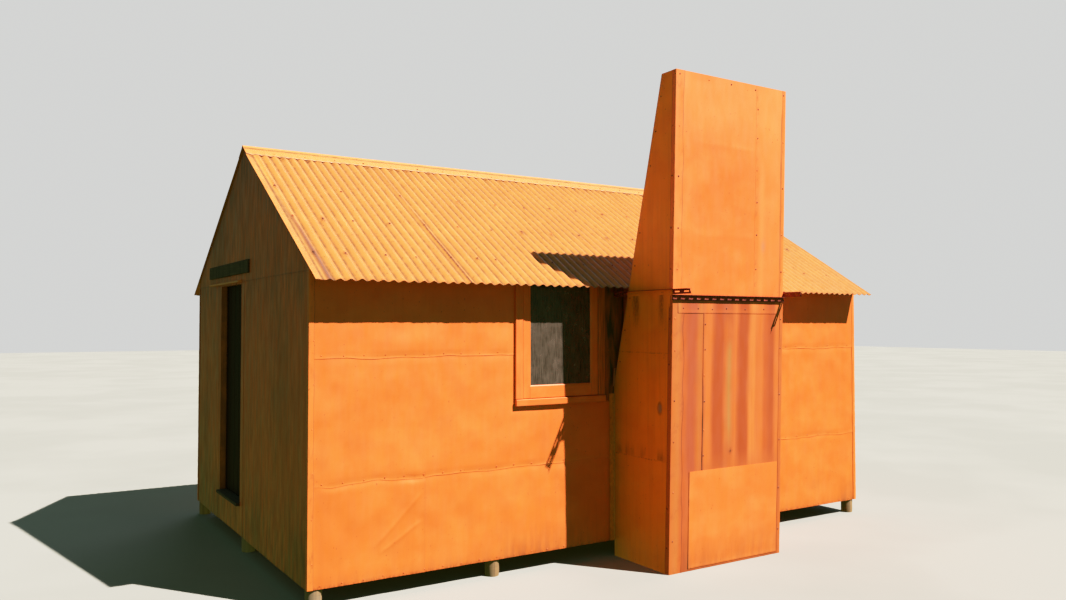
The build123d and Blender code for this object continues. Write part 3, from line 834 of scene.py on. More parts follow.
def corrugated_tree() -> Tree:
    """Tree for one slope of corrugated sheets, each rising along its width onto the edge of the next.

    Returns:
        The tree. Its sheets lie flat, with X along the eave and Y up the slope.
    """
    tree = Tree("corrugated_sheets", {
        "Pitch": "Float", "Depth": "Float", "First trough": "Float", "Cover": "Float", "Width": "Float",
        "Length": "Float", "Metal": "Float", "Rise": "Float", "Sheets": "Int", "Places along": "Int",
        "Places up": "Int"})
    sizes, out = tree.sizes, tree.out
    grid = out("GeometryNodeMeshGrid", {
        "Size X": sizes["Width"], "Size Y": sizes["Length"], "Vertices X": sizes["Places along"],
        "Vertices Y": sizes["Places up"]})
    place = out("ShaderNodeSeparateXYZ", {0: out("GeometryNodeInputPosition")})
    half = out("ShaderNodeMath", {0: sizes["Width"], 1: 0.5}, operation="MULTIPLY")
    across = out("ShaderNodeMath", {0: place, 1: half}, operation="ADD")
    kept = out("GeometryNodeStoreNamedAttribute", {"Geometry": grid, "Name": "across", "Value": across})
    edge = out("ShaderNodeCombineXYZ", {0: half})
    sheet = out("GeometryNodeTransform", {"Geometry": kept, "Translation": edge})
    step = out("ShaderNodeCombineXYZ", {0: sizes["Cover"]})
    row = out("GeometryNodeMeshLine", {"Count": sizes["Sheets"], "Offset": step})
    laid = out("GeometryNodeInstanceOnPoints", {"Points": row, "Instance": sheet})
    real = out("GeometryNodeRealizeInstances", {0: laid})
    along = out("ShaderNodeSeparateXYZ", {0: out("GeometryNodeInputPosition")})
    from_trough = out("ShaderNodeMath", {0: along, 1: sizes["First trough"]}, operation="SUBTRACT")
    waves = out("ShaderNodeMath", {0: from_trough, 1: sizes["Pitch"]}, operation="DIVIDE")
    turn = out("ShaderNodeMath", {0: waves, 1: 2 * math.pi}, operation="MULTIPLY")
    wave = out("ShaderNodeMath", {0: turn}, operation="COSINE")
    flipped = out("ShaderNodeMath", {0: 1.0, 1: wave}, operation="SUBTRACT")
    half_depth = out("ShaderNodeMath", {0: sizes["Depth"], 1: 0.5}, operation="MULTIPLY")
    ridge = out("ShaderNodeMath", {0: flipped, 1: half_depth}, operation="MULTIPLY")
    saved = out("GeometryNodeInputNamedAttribute", {"Name": "across"}, data_type="FLOAT")
    climb = out("ShaderNodeMath", {0: saved, 1: sizes["Rise"]}, operation="MULTIPLY")
    height = out("ShaderNodeMath", {0: ridge, 1: climb}, operation="ADD")
    lift = out("ShaderNodeCombineXYZ", {2: height})
    waved = out("GeometryNodeSetPosition", {"Geometry": real, "Offset": lift})
    metal = out("ShaderNodeCombineXYZ", {2: sizes["Metal"]})
    top = out("GeometryNodeExtrudeMesh", {
        "Mesh": waved, "Offset": metal, "Offset Scale": 1.0, "Individual": False})
    under = out("GeometryNodeFlipFaces", {"Mesh": waved})
    both = tree.add("GeometryNodeJoinGeometry")
    for part in (top, under):
        tree.group.links.new(part, both.inputs[0])
    tree.end(out("GeometryNodeMergeByDistance", {"Geometry": both.outputs[0], "Distance": 0.00001}))
    return tree


def nails_tree() -> Tree:
    """Tree that drives a domed nail head at each point, square to the point's own direction.

    Returns:
        The tree. It works on loose points with an attribute named facing.
    """
    tree = Tree("nail_heads", {"Head": "Float", "Height": "Float", "Tilt": "Float", "Seed": "Int"})
    sizes, out = tree.sizes, tree.out
    foot = out("ShaderNodeMath", {0: sizes["Head"], 1: 0.5}, operation="MULTIPLY")
    crown = out("ShaderNodeMath", {0: sizes["Head"], 1: 0.28}, operation="MULTIPLY")
    head = out("GeometryNodeMeshCone", {
        "Vertices": 9, "Radius Top": crown, "Radius Bottom": foot, "Depth": sizes["Height"]})
    facing = out("GeometryNodeInputNamedAttribute", {"Name": "facing"}, data_type="FLOAT_VECTOR")
    square = out("FunctionNodeAlignRotationToVector", {"Vector": facing}, axis="Z")
    back = out("ShaderNodeMath", {0: sizes["Tilt"], 1: -1.0}, operation="MULTIPLY")
    low = out("ShaderNodeCombineXYZ", {0: back, 1: back})
    high = out("ShaderNodeCombineXYZ", {0: sizes["Tilt"], 1: sizes["Tilt"]})
    lean = out("FunctionNodeRandomValue", {
        "Min": low, "Max": high, "Seed": sizes["Seed"]}, data_type="FLOAT_VECTOR")
    lean_turn = out("FunctionNodeEulerToRotation", {0: lean})
    turned = out("FunctionNodeRotateRotation", {0: square, 1: lean_turn}, rotation_space="LOCAL")
    size = tree.add("FunctionNodeRandomValue", {2: 0.85, 3: 1.12, "Seed": sizes["Seed"]}, data_type="FLOAT")
    driven = out("GeometryNodeInstanceOnPoints", {
        "Points": tree.start.outputs[0], "Instance": head, "Rotation": turned, "Scale": size.outputs[1]})
    worn = tree.add("FunctionNodeRandomValue", {2: 0.0, 3: 1.0, "Seed": sizes["Seed"]}, data_type="FLOAT")
    tree.end(out("GeometryNodeStoreNamedAttribute", {
        "Geometry": driven, "Name": "worn", "Value": worn.outputs[1]}, domain="INSTANCE"))
    return tree


def slots_tree() -> Tree:
    """Tree that repeats one slotted length of a steel strip along X and joins the lengths.

    Returns:
        The tree. It works on a single length.
    """
    tree = Tree("slotted_strip", {"Lengths": "Int", "Pitch": "Float"})
    sizes, out = tree.sizes, tree.out
    step = out("ShaderNodeCombineXYZ", {0: sizes["Pitch"]})
    row = out("GeometryNodeMeshLine", {"Count": sizes["Lengths"], "Offset": step})
    laid = out("GeometryNodeInstanceOnPoints", {"Points": row, "Instance": tree.start.outputs[0]})
    real = out("GeometryNodeRealizeInstances", {0: laid})
    tree.end(out("GeometryNodeMergeByDistance", {"Geometry": real, "Distance": 0.0001}))
    return tree


@dataclass
class Nails:
    """Nail heads in rows, gathered from all over a part of the hut and driven in one go."""
    tree: Tree
    finish: bpy.types.Material
    head: float = 10 * MM
    height: float = 3 * MM
    tilt: float = 0.12
    spots: list[tuple[Vector, Vector]] = field(default_factory=list)

    def drive(self, place: Iterable[float], facing: Iterable[float]) -> None:
        """Marks a place for a nail and the way that its head faces."""
        self.spots.append((Vector(place), Vector(facing)))

    def build(self, name: str, slot: str, seed: int) -> bpy.types.Object:
        """Makes the heads as one piece.

        Args:
            name: name of the piece.
            slot: not used.
            seed: seed for their wear and lean.

        Returns:
            The piece.
        """
        mesh = bpy.data.meshes.new(name)
        mesh.from_pydata([place for place, _ in self.spots], [], [])
        ways = mesh.attributes.new("facing", "FLOAT_VECTOR", "POINT")
        ways.data.foreach_set("vector", [c for _, facing in self.spots for c in facing])
        carrier = placed(name, mesh)
        self.tree.bake(carrier, {
            "Head": self.head, "Height": self.height, "Tilt": self.tilt, "Seed": seed, "Finish": self.finish})
        return deliver(carrier)


# The hut's main lines

@dataclass(frozen=True)
class Lines:
    """The main lines of the hut, taken from the model."""
    left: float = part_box("left_gable_cladding")[0][0]
    right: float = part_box("right_gable_cladding")[1][0]
    front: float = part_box("front_cladding")[0][1]
    rear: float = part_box("rear_cladding")[1][1]
    foot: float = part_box("front_cladding")[0][2]
    wall_top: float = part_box("front_cladding")[1][2]
    floor_top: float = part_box("floor")[1][2]
    inset: float = 4 * MM
    layer: float = 1.5 * MM
    metal: float = 1.0 * MM
    pitch: float = math.radians(31.5)
    head_gap: float = 20 * MM
    chimney: tuple[float, float] = (2.581, 3.796)

    @property
    def middle(self) -> float:
        """Y of the ridge."""
        return (self.front + self.rear) / 2

    def roof(self, y: float) -> float:
        """Height of the plane that the roof sheets lie on, on either slope."""
        reach = min(y - self.front, self.rear - y)
        return self.wall_top + self.head_gap + reach * math.tan(self.pitch)


# Sub-assemblies

@dataclass
class Studio:
    """Pale floor, pale backdrop, one key light and the camera at the photograph's place."""
    eye: Point = (-4.65375, -7.07464, 1.907)
    heading: float = 32.40
    tilt: float = 1.63
    lens: float = 29.01
    key_from: Point = (0.362, -0.517, 0.776)
    key_strength: float = 12.4
    key_spread: float = 0.6
    rear_from: Point = (0.5, 0.8, 0.5)
    rear_strength: float = 0.55
    sky: str = "#55715B"
    ground: str = "#74893A"
    backdrop: str = "#DCDDDB"
    floor_half: float = 60.0
    # The camera's soft roll-off: light, and the tone that it gives
    shoulder: tuple[tuple[float, float], ...] = (
        (0.0, 0.0), (0.5, 0.5), (0.65, 0.62), (0.8, 0.705), (1.0, 0.8), (1.3, 0.9), (1.65, 0.975), (2.2, 1.0))

    def build(self) -> None:
        """Builds the camera, the lights, the world and the floor."""
        scene = bpy.context.scene
        camera = bpy.data.cameras.new("camera")
        camera.lens, camera.sensor_width = self.lens, 36.0
        holder = placed("camera", camera)
        holder.location = self.eye
        holder.rotation_euler = (math.radians(90 + self.tilt), 0.0, -math.radians(self.heading))
        scene.camera = holder
        self.expose(scene.view_settings)
        self.light("key_light", self.key_from, self.key_strength, self.key_spread, "#FFF6EA")
        self.light("rear_light", self.rear_from, self.rear_strength, 40.0, "#EAF1FF")
        self.surround(scene)
        self.floor()

    def expose(self, view: bpy.types.ColorManagedViewSettings) -> None:
        """Rolls the brightest tones off softly, as a camera does.

        Args:
            view: the scene's view settings.
        """
        view.view_transform = "Standard"
        view.use_curve_mapping = True
        curves, white = view.curve_mapping, self.shoulder[-1][0]
        curves.white_level = (white, white, white)
        points = curves.curves[3].points
        while len(points) < len(self.shoulder):
            points.new(0.5, 0.5)
        for point, (light, tone) in zip(points, self.shoulder):
            point.location = (light / white, tone)
            point.handle_type = "VECTOR"
        curves.update()

    def light(self, name: str, towards: Point, strength: float, spread: float, colour: str) -> None:
        """Adds a far light.

        Args:
            name: its name.
            towards: direction from the hut to it.
            strength: its strength on a surface that faces it.
            spread: how wide it looks, in degrees.
            colour: its colour.
        """
        lamp = bpy.data.lights.new(name, "SUN")
        lamp.energy, lamp.angle, lamp.color = strength, math.radians(spread), linear(colour)[:3]
        placed(name, lamp).rotation_euler = Vector(towards).to_track_quat("Z", "Y").to_euler()

    def surround(self, scene: bpy.types.Scene) -> None:
        """Sets a dim light from all round, with a pale backdrop for the camera alone.

        Args:
            scene: the scene.
        """
        world = bpy.data.worlds.new("studio")
        scene.world = world
        world.use_nodes = True
        tree = world.node_tree
        tree.nodes.clear()
        around = add_node(tree, "ShaderNodeTexCoord").outputs["Generated"]
        way = add_node(tree, "ShaderNodeSeparateXYZ", {0: around})
        up = add_node(tree, "ShaderNodeMapRange", {
            "Value": way.outputs[2], "From Min": -0.25, "From Max": 0.25})
        dim = add_node(tree, "ShaderNodeMix", {
            0: up.outputs[0], 6: linear(self.ground), 7: linear(self.sky)}, data_type="RGBA")
        seen = add_node(tree, "ShaderNodeLightPath").outputs["Is Camera Ray"]
        shown = add_node(tree, "ShaderNodeMix", {
            0: seen, 6: dim.outputs[2], 7: linear(self.backdrop)}, data_type="RGBA")
        lit = add_node(tree, "ShaderNodeBackground", {0: shown.outputs[2]})
        add_node(tree, "ShaderNodeOutputWorld", {0: lit.outputs[0]})

    def floor(self) -> None:
        """Lays a pale floor that takes the hut's shadow and throws no light back."""
        mesh = bpy.data.meshes.new("studio_floor")
        half = self.floor_half
        mesh.from_pydata([(-half, -half, 0), (half, -half, 0), (half, half, 0), (-half, half, 0)], [],
                         [[0, 1, 2, 3]])
        coat = Coat("matt_paper_floor")
        tone = coat.wash("#8E8E8A", "#949490", coat.patches((2500, 2500, 2500), 1, 0.4, 0.6))
        mesh.materials.append(coat.finish(tone, 0.95, Specular_IOR_Level=0.1))
        floor = placed("studio_floor", mesh)
        floor.visible_diffuse = False
        floor.visible_glossy = False


@dataclass
class Roof:
    """Corrugated sheets on both slopes, their nails, and the ridge cap."""
    lines: Lines
    nails: Tree
    iron: bpy.types.Material
    nail_finish: bpy.types.Material
    wave: float = 76.2 * MM
    depth: float = 17 * MM
    first_trough: float = 50.8 * MM
    sheets: int = 10
    steps_in_wave: int = 10
    seat: float = 0.3 * MM
    ridge_gap: float = 8 * MM
    eave_reach: float = 0.25
    trodden: float = 8 * MM
    tallest: float = 19.5 * MM
    flange_nails: float = 0.105
    # Rows of nails over the battens: distance up the slope, and the numbers of the crests that are nailed
    crests: tuple[tuple[float, tuple[int, ...]], ...] = (
        (0.37, (1, 4, 8, 11, 15, 18, 20)), (0.94, (1, 4, 7, 11, 15, 19, 23)), (1.49, (1, 8, 15, 22)))
    # The one lap that stands open, its gap drawn dark as a painted shadow
    shadowed_lap: int = 2
    cap_reach: float = 150 * MM
    cap_roll: float = 17 * MM
    eave_overhang: float = 0.179

    def __post_init__(self) -> None:
        """Works out the sizes that follow from the others."""
        low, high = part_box("front_roof_sheets")
        self.left, self.total = low[0], high[0] - low[0]
        self.cover = 7.5 * self.wave
        self.width = self.cover + self.wave
        self.eave_y = self.lines.front - self.eave_overhang
        self.length = (self.lines.middle - self.eave_y) / math.cos(self.lines.pitch)
        self.rise = (self.lines.metal + self.seat) / self.cover
        self.spots = list(self.nail_spots())
        self.aged: list[tuple[float, float, float]] = []

    def build(self) -> None:
        """Builds the sheets, the cap and the nails."""
        front = self.slope_sheets()
        rear = self.far_slope(front)
        deliver(front, stands_for=["front_roof_sheets"])
        deliver(rear, stands_for=["rear_roof_sheets"])
        self.cap()
        self.drive_nails()

    def point(self, x: float, up: float, height: float, far: bool = False) -> Vector:
        """Point of a slope.

        Args:
            x: place along the roof from its left verge.
            up: distance up the slope from the eave.
            height: height square to the slope.
            far: whether it is the rear slope.

        Returns:
            The point.
        """
        cos, sin = math.cos(self.lines.pitch), math.sin(self.lines.pitch)
        y = self.eave_y + up * cos
        z = self.lines.roof(y) + height * cos
        y -= height * sin
        return Vector((self.left + x, 2 * self.lines.middle - y if far else y, z))

    def crest(self, x: float) -> float:
        """Height of the crests' top over the slope at a place along the roof."""
        return self.seat + self.depth + self.lines.metal + self.rise * (x % self.cover + self.wave)

    def trough(self, x: float) -> float:
        """How far a place along the roof lies in a trough, from 0 to 1."""
        return 0.5 + 0.5 * math.cos(2 * math.pi * (x - self.first_trough) / self.wave)

    def nail_spots(self) -> Iterable[tuple[float, float, float]]:
        """Finds places for nails: on a few crests over each batten.

        Returns:
            Each nail's place along the roof and up the slope, and its wear.
        """
        rng = random.Random(11)
        for up, crests in self.crests:
            for crest in [*crests, *range(27, 75, 4)]:
                x = self.first_trough + (crest - 0.5) * self.wave
                yield x + rng.uniform(-3, 3) * MM, up + rng.uniform(-20, 20) * MM, rng.uniform(0.6, 1.5)

    def stain(self, x: float, up: float) -> float:
        """How far rust has run over a place from the nails near it.

        Args:
            x: place along the roof.
            up: distance up the slope.

        Returns:
            The stain's share, from 0 to 1.
        """
        cover = 0.0
        for nail_x, nail_up, wear in self.spots:
            if abs(x - nail_x) < 0.04 and -0.16 < up - nail_up < 0.05:
                side = (x - nail_x) / (0.012 * wear)
                down = (up - nail_up) / ((0.016 if up > nail_up else 0.030) * wear)
                cover = max(cover, math.exp(-side * side - down * down))
        return cover

    def slope_sheets(self) -> bpy.types.Object:
        """Makes the front slope's sheets and ages them, with a first corrugation trodden flat.

        Returns:
            The sheets as one object.
        """
        sheets = placed("front_slope_iron", bpy.data.meshes.new("front_slope_iron"))
        length = self.length - self.ridge_gap
        edge = length - self.cap_reach
        ups = stations(0, length, 0.2, [0.02, 0.05, 0.09, 0.14, edge - 0.035, edge - 0.015, edge + 0.01, *(
            row + shift for row, _ in self.crests for shift in (-0.075, -0.045, -0.020, 0, 0.020, 0.045))])
        corrugated_tree().bake(sheets, {
            "Pitch": self.wave, "Depth": self.depth, "First trough": self.first_trough + self.wave,
            "Cover": self.cover, "Width": self.width, "Length": 1.0, "Metal": self.lines.metal,
            "Rise": self.rise, "Sheets": self.sheets, "Places along": round(8.5 * self.steps_in_wave) + 1,
            "Places up": len(ups), "Finish": self.iron})
        mesh = sheets.data
        mesh.name = sheets.name
        self.trim(mesh)
        marks: dict[Mark, list[float]] = {kind: [] for kind in Mark}
        for vertex in mesh.vertices:
            x, height = vertex.co.x - self.wave, vertex.co.z
            up = ups[round((vertex.co.y + 0.5) * (len(ups) - 1))]
            near_eave = smooth(1 - up / self.eave_reach)
            sheet = min(int(x / self.cover), self.sheets - 1)
            slide = near_eave * MM * (10 + 6 * swell(sheet * 3.1, 1.0, 1.0, 4.0) + 3 * swell(x, 0, 0.05, 9.0))
            wobble = near_eave * 5 * MM * swell(x, up, 0.13, 7.0) + 2.4 * MM * swell(x, up, 0.34, 8.0)
            flat = fall(x, 0.062, 0.045) * 0.8
            height -= flat * (height - self.seat - self.trodden)
            height = max(height + wobble, 0.0)
            vertex.co = self.point(x, up - slide, height)
            self.aged.append((x, up, min(height, self.tallest + (1 - near_eave) * 5 * MM)))
            for kind, value in self.weather(x, up, edge).items():
                marks[kind].append(value)
        surfaced(mesh, marks, 50)
        return sheets

    def weather(self, x: float, up: float, edge: float) -> Marks:
        """Marks of a place on the front slope.

        Args:
            x: place along the roof.
            up: distance up the slope.
            edge: distance up the slope of the cap's edge.

        Returns:
            Rust; a painted highlight on the flanks that face away from the sun; painted shadow in the open
            lap and under the cap's edge, with rust there; darker troughs and a darker right end; and iron
            rubbed bare beside the verge.
        """
        in_trough, lap = self.trough(x), x - self.shadowed_lap * self.cover
        low = smooth((1.75 - up) / 1.6)
        off = x - 0.050 - 0.048 * low - 0.008 * swell(up, 0, 0.3, 6.0)
        bare = smooth(1 - abs(off) / (0.016 + 0.030 * low))
        bare *= smooth((1.9 - up) / 0.4) * (0.45 + 0.55 * low)
        # Painted shadow along the open lap's gap, with rust.
        dark = near(lap, 0.008, 0.013) * (0.5 + 0.5 * smooth((1.5 - up) / 0.8))
        # Painted highlight: the flanks that face away from the sun are paled to even out their shade.
        flank_highlight = max(0.0, math.sin(2 * math.pi * (x - self.first_trough) / self.wave))
        # Painted shadow of the cap's edge in the troughs below it, with rust there too.
        cap_shadow_and_rust = near(up, edge - 0.010, 0.040) * smooth(0.2 + 3 * swell(x, 0, 0.055, 10.0))
        # Darker towards the right end of the roof.
        dirt = 0.03 + 0.10 * smooth(x / 4) + 0.12 * rise(x, 4.2, 1.2)
        return {
            Mark.RUST: max(0.30 * smooth(1 - up / 0.03), 0.95 * self.stain(x, up),
                           0.8 * cap_shadow_and_rust * in_trough, dark * smooth((1.2 - up) / 0.4)),
            Mark.FADE: 0.85 * flank_highlight,
            Mark.GRIME: max(0.9 * rise(in_trough, 0.76, 0.16), 0.9 * cap_shadow_and_rust, dark, dirt),
            Mark.BARE: 0.9 * bare}

    def trim(self, mesh: bpy.types.Mesh) -> None:
        """Cuts the first sheet at the left verge, and closes the cut.

        Args:
            mesh: the sheets, before they are laid on the slope.
        """
        shell = bmesh.new()
        shell.from_mesh(mesh)
        whole = [*shell.verts, *shell.edges, *shell.faces]
        bmesh.ops.bisect_plane(shell, geom=whole, plane_co=(self.wave, 0, 0), plane_no=(-1, 0, 0),
                               clear_outer=True, dist=0.02 * MM)
        bmesh.ops.holes_fill(shell, edges=[edge for edge in shell.edges if edge.is_boundary])
        shell.to_mesh(mesh)
        shell.free()

    def far_slope(self, front: bpy.types.Object) -> bpy.types.Object:
        """Copies the front slope's sheets onto the rear slope, with their eave cut straight.

        Args:
            front: the front slope's sheets.

        Returns:
            The sheets as one object.
        """
        mesh = front.data.copy()
        mesh.name = "rear_slope_iron"
        for vertex, (x, up, height) in zip(mesh.vertices, self.aged):
            vertex.co = self.point(x, up, height, far=True)
        mesh.flip_normals()
        return placed(mesh.name, mesh)

    def cap(self) -> None:
        """Makes the ridge cap: a roll along the top, and a flange on each slope, its edge dressed down."""
        draft = Draft("ridge_capping")
        middle, pitch = self.lines.middle, self.lines.pitch
        # Each point of the section: distance down the slope, height over the crests in millimetres, and how
        # far it is dressed into the troughs
        section = [(0.150, 0.2, 1.0), (0.147, 2.6, 0.9), (0.138, 3.0, 0.6), (0.118, 2.4, 0.2),
                   (0.080, 2.6, 0.0), (0.056, 2.9, 0.0), (0.042, 2.2, 0.0), (0.026, 5.6, 0.0)]
        roll = [math.radians(turn) for turn in (-62, -34, 0, 34, 62)]
        top = self.lines.roof(middle) + (self.crest(0) + 3 * MM) / math.cos(pitch)
        count = 2 * len(section) + len(roll)

        def place(u: float, v: float) -> Vector:
            """Point of the cap's outer face.

            Args:
                u: place along X.
                v: place over the cap, as a count from its front edge.

            Returns:
                The point.
            """
            n = round(v)
            sag = 2.4 * MM * swell(u, 0, 0.5, 3.0)
            if len(section) <= n < len(section) + len(roll):
                turn = roll[n - len(section)]
                return Vector((u, middle + self.cap_roll * math.sin(turn),
                               top - 5 * MM + self.cap_roll * (math.cos(turn) - 0.35) + sag))
            side = 1 if n < len(section) else -1
            down, lift, dressed = section[n if side > 0 else count - 1 - n]
            x = u - self.left
            reach = down + (5 * MM * swell(x, side, 0.3, 12.0) if dressed > 0.5 else 0.0)
            y = middle - reach * math.cos(pitch)
            dip = dressed * 6.5 * MM * self.trough(x)
            loose = (sag + 1.2 * MM * swell(x, down, 0.1, 13.0)) * (1 - dressed)
            height = self.crest(x) + lift * MM - dip + loose
            z = self.lines.roof(y) + height / math.cos(pitch)
            return Vector((u, y if side > 0 else 2 * middle - y, z))

        def mark(u: float, v: float) -> Marks:
            """A painted highlight on the roll, painted shade in the crook under it, and rust here and there
            along the edges.

            Args:
                u: place along X.
                v: place over the cap, as a count from its front edge.

            Returns:
                The marks.
            """
            n = min(round(v), count - 1 - round(v))
            rust = smooth(3 * swell(u, v, 0.06, 14.0)) if n < 2 else 0.0
            # The roll is paled as a painted highlight, and the crook under it darkened as painted shade.
            return {Mark.RUST: 0.8 * rust, Mark.FADE: 1.0 if n > 7 else 0.35 if n > 5 else 0.6,
                    Mark.GRIME: 1.0 if n == 6 else 0.35 if n == 5 else 0.15 * (n < 2)}

        draft.sheet(stations(self.left, self.left + self.total, self.wave / 6), range(count), place,
                    Vector((0, 0, -1)) * MM, mark=mark)
        deliver(draft.make(self.iron, 50), stands_for=["ridge_cap"])

    def drive_nails(self) -> None:
        """Drives the roof's nails through the crests, and a row through each flange of the cap."""
        nails = Nails(self.nails, self.nail_finish, 16 * MM, 4 * MM, 0.2)
        cos, sin = math.cos(self.lines.pitch), math.sin(self.lines.pitch)
        row = self.length - self.flange_nails
        flange = [(self.first_trough + (3.5 * n + 2.5) * self.wave, row) for n in range(21)]
        for x, up in [*(spot[:2] for spot in self.spots), *flange]:
            height = self.crest(x) + (2.6 * MM if up > self.length - self.cap_reach else 0.0)
            for far in (False, True):
                nails.drive(self.point(x, up, height, far), (0, sin if far else -sin, cos))
        nails.build("roof_nails", "roof_iron", 5)


@dataclass
class LongWall:
    """A long wall of flat iron in three courses, each hung over the one below."""
    lines: Lines
    iron: bpy.types.Material
    nails: Nails
    is_front: bool
    first_course: float = 0.679
    cover: float = 0.864
    lap: float = 0.050
    cell: float = 0.022
    fine_cell: float = 0.011
    rear_cell: float = 0.045
    seam_reach: float = 0.024
    strip: float = 0.045
    # Openings: left end and right end from the wall's left end, then the sill's or the opening's top
    window: tuple[float, float, float] = (1.684, 2.402, 1.330)
    hearth: tuple[float, float, float] = (2.651, 3.726, 1.400)
    sheet_joint: float = 0.861
    length: float = 5.68
    nail_step: float = 0.152
    end_nails: tuple[float, float] = (0.030, 5.655)
    # Creases: one end, the other end, and height in millimetres
    creases: tuple[tuple[tuple[float, float], tuple[float, float], float], ...] = (
        ((0.854, 0.722), (0.470, 0.350), 6.0), ((0.850, 0.512), (0.500, 0.300), 5.4))
    # Dents: place along the wall, height above the ground, reach, and how far they stand out in millimetres
    dents: tuple[tuple[float, float, float, float], ...] = (
        (0.615, 1.528, 0.030, 3.0), (0.184, 1.515, 0.030, 2.2), (1.24, 1.30, 0.09, 2.2))

    @property
    def sign(self) -> int:
        """Which way the wall faces along Y."""
        return -1 if self.is_front else 1

    @property
    def face(self) -> float:
        """Y of the wall's outer face."""
        return self.lines.front if self.is_front else self.lines.rear

    def free(self, a: float) -> float:
        """How far a place along the wall is free of the strips over its ends, from 0 to 1."""
        return rise(min(a, self.length - a), self.strip, 0.10)

    def seam(self, a: float, number: int) -> float:
        """How far a course's lower edge strays from level, at a place along the wall."""
        stray = 15 * swell(a, 0, 0.31, 8.0 + number) + 5 * swell(a, 0, 0.11, 5.0 + number)
        return self.free(a) * MM * stray if number else 0.0

    def out(self, a: float, z: float) -> float:
        """How far the sheets stand out from flat: they pillow between the seams, where nails hold them in.

        Args:
            a: place along the wall.
            z: height.

        Returns:
            The distance, in metres.
        """
        ease = self.free(a)
        height = 5.0 + 5.2 * swell(a, z, 0.45, 1.0 if self.is_front else 41.0) + 3.6 * swell(a, z, 0.17, 2.0)
        if self.is_front:
            ease *= smooth(max(self.window[0] - 0.07 - a, a - self.window[1] - 0.07, 1.277 - z, 0.0) / 0.07)
            left, right = self.lines.chimney
            if left - 0.09 < a < right + 0.09:
                ease *= rise(max(left - a, a - right), 0.05, 0.04)
            for (a0, z0), (a1, z1), tall in self.creases:
                run = Vector((a1 - a0, z1 - z0))
                share = min(max(Vector((a - a0, z - z0)).dot(run) / run.length_squared, 0.0), 1.0)
                gap = (Vector((a - a0, z - z0)) - share * run).length
                height += tall * math.exp(-gap / 0.015) * smooth(min(share, 1 - share) / 0.25 + 0.15)
            for a0, z0, reach, tall in self.dents:
                height += tall * math.exp(-((a - a0) ** 2 + (z - z0) ** 2) / reach ** 2)
        for number, joint in ((1, self.first_course), (2, self.first_course + self.cover)):
            off = z - self.lines.foot - joint - 4 * MM - self.seam(a, number)
            height *= 1 - (0.84 + 0.4 * swell(a, number, 0.2, 6.0)) * math.exp(-(off / self.seam_reach) ** 2)
        height *= 1 - 0.75 * rise(z, 1.75, 0.15)
        return ease * max(height, 0.0) * MM

    def build(self) -> None:
        """Builds the three courses as one piece, and drives their nails."""
        name = "front_wall_iron" if self.is_front else "rear_wall_iron"
        draft = Draft(name)
        lines = self.lines
        second = lines.foot + self.first_course
        third = second + self.cover
        courses = [
            (lines.foot, second + self.lap, 2 * lines.layer, 0.0),
            (second, third + self.lap, lines.layer, 1.0),
            (third, lines.wall_top, 0.0, 1.0)]
        first, last = lines.inset, lines.right - lines.left - lines.inset
        for number, (foot, top, depth, lip) in enumerate(courses):
            spans = [(first, last, 0.0, self.cell if self.is_front else self.rear_cell)]
            if number == 0 and self.is_front:
                spans = [(first, self.sheet_joint, -1.1 * MM, self.fine_cell),
                         (self.sheet_joint - 0.03, last, 0.0, self.cell)]
            for start, end, proud, cell in spans:
                self.course(draft, start, end, foot, top, depth + proud, lip, number, cell)
        deliver(draft.make(self.iron),
                stands_for=["front_cladding" if self.is_front else "rear_cladding"])
        self.nail_rows([foot for foot, *_ in courses])

    def course(self, draft: Draft, start: float, end: float, foot: float, top: float, depth: float,
               lip: float, number: int, cell: float) -> None:
        """Adds one sheet of a course.

        Args:
            draft: the piece.
            start: its left end, from the wall's left end.
            end: its right end.
            foot: its lower edge.
            top: its upper edge.
            depth: how far behind the wall's face it lies.
            lip: how far its lower edge kicks out, in shares.
            number: the course's number from the ground.
            cell: size of the grid's cells.
        """
        lines = self.lines
        us = stations(start, end, cell, [*self.window[:2], *self.hearth[:2]] if self.is_front else [])
        vs = stations(foot, top, cell, [
            foot + 3 * MM, foot + 9 * MM, foot + 18 * MM, self.window[2], self.hearth[2]])

        def place(a: float, z: float) -> Vector:
            """Point of the sheet's outer face.

            Args:
                a: place along the wall.
                z: height.

            Returns:
                The point.
            """
            kick = lip * self.free(a) * fall(z, foot, 0.014)
            kick *= max(0.3, 1.3 + 2.2 * swell(a, 0, 0.13, 15.0 + number))
            shift = fall(z, foot, 0.06) * self.seam(a, number)
            curl = 1.8 * smooth(1 - (end - a) / 0.03) if end == self.sheet_joint else 0.0
            bulge = self.out(a, z + shift) + (kick + curl) * MM
            return Vector((lines.left + a, self.face + self.sign * (bulge - depth), z + shift))

        def keep(a: float, z: float) -> bool:
            """Whether the sheet covers a place, outside the window and the hearth.

            Args:
                a: place along the wall.
                z: height.

            Returns:
                Whether it does.
            """
            if not self.is_front:
                return True
            in_window = self.window[0] < a < self.window[1] and z > self.window[2]
            in_hearth = self.hearth[0] < a < self.hearth[1] and z < self.hearth[2]
            return not (in_window or in_hearth)

        def mark(a: float, z: float) -> Marks:
            """Rust along the sheet's lower edge, dirt low down and along its joints, painted shade beside the
            window, and a painted highlight along the lips.

            Args:
                a: place along the wall.
                z: height.

            Returns:
                The marks.
            """
            joint = near(a, self.sheet_joint, 0.012) if number == 0 and self.is_front else 0.0
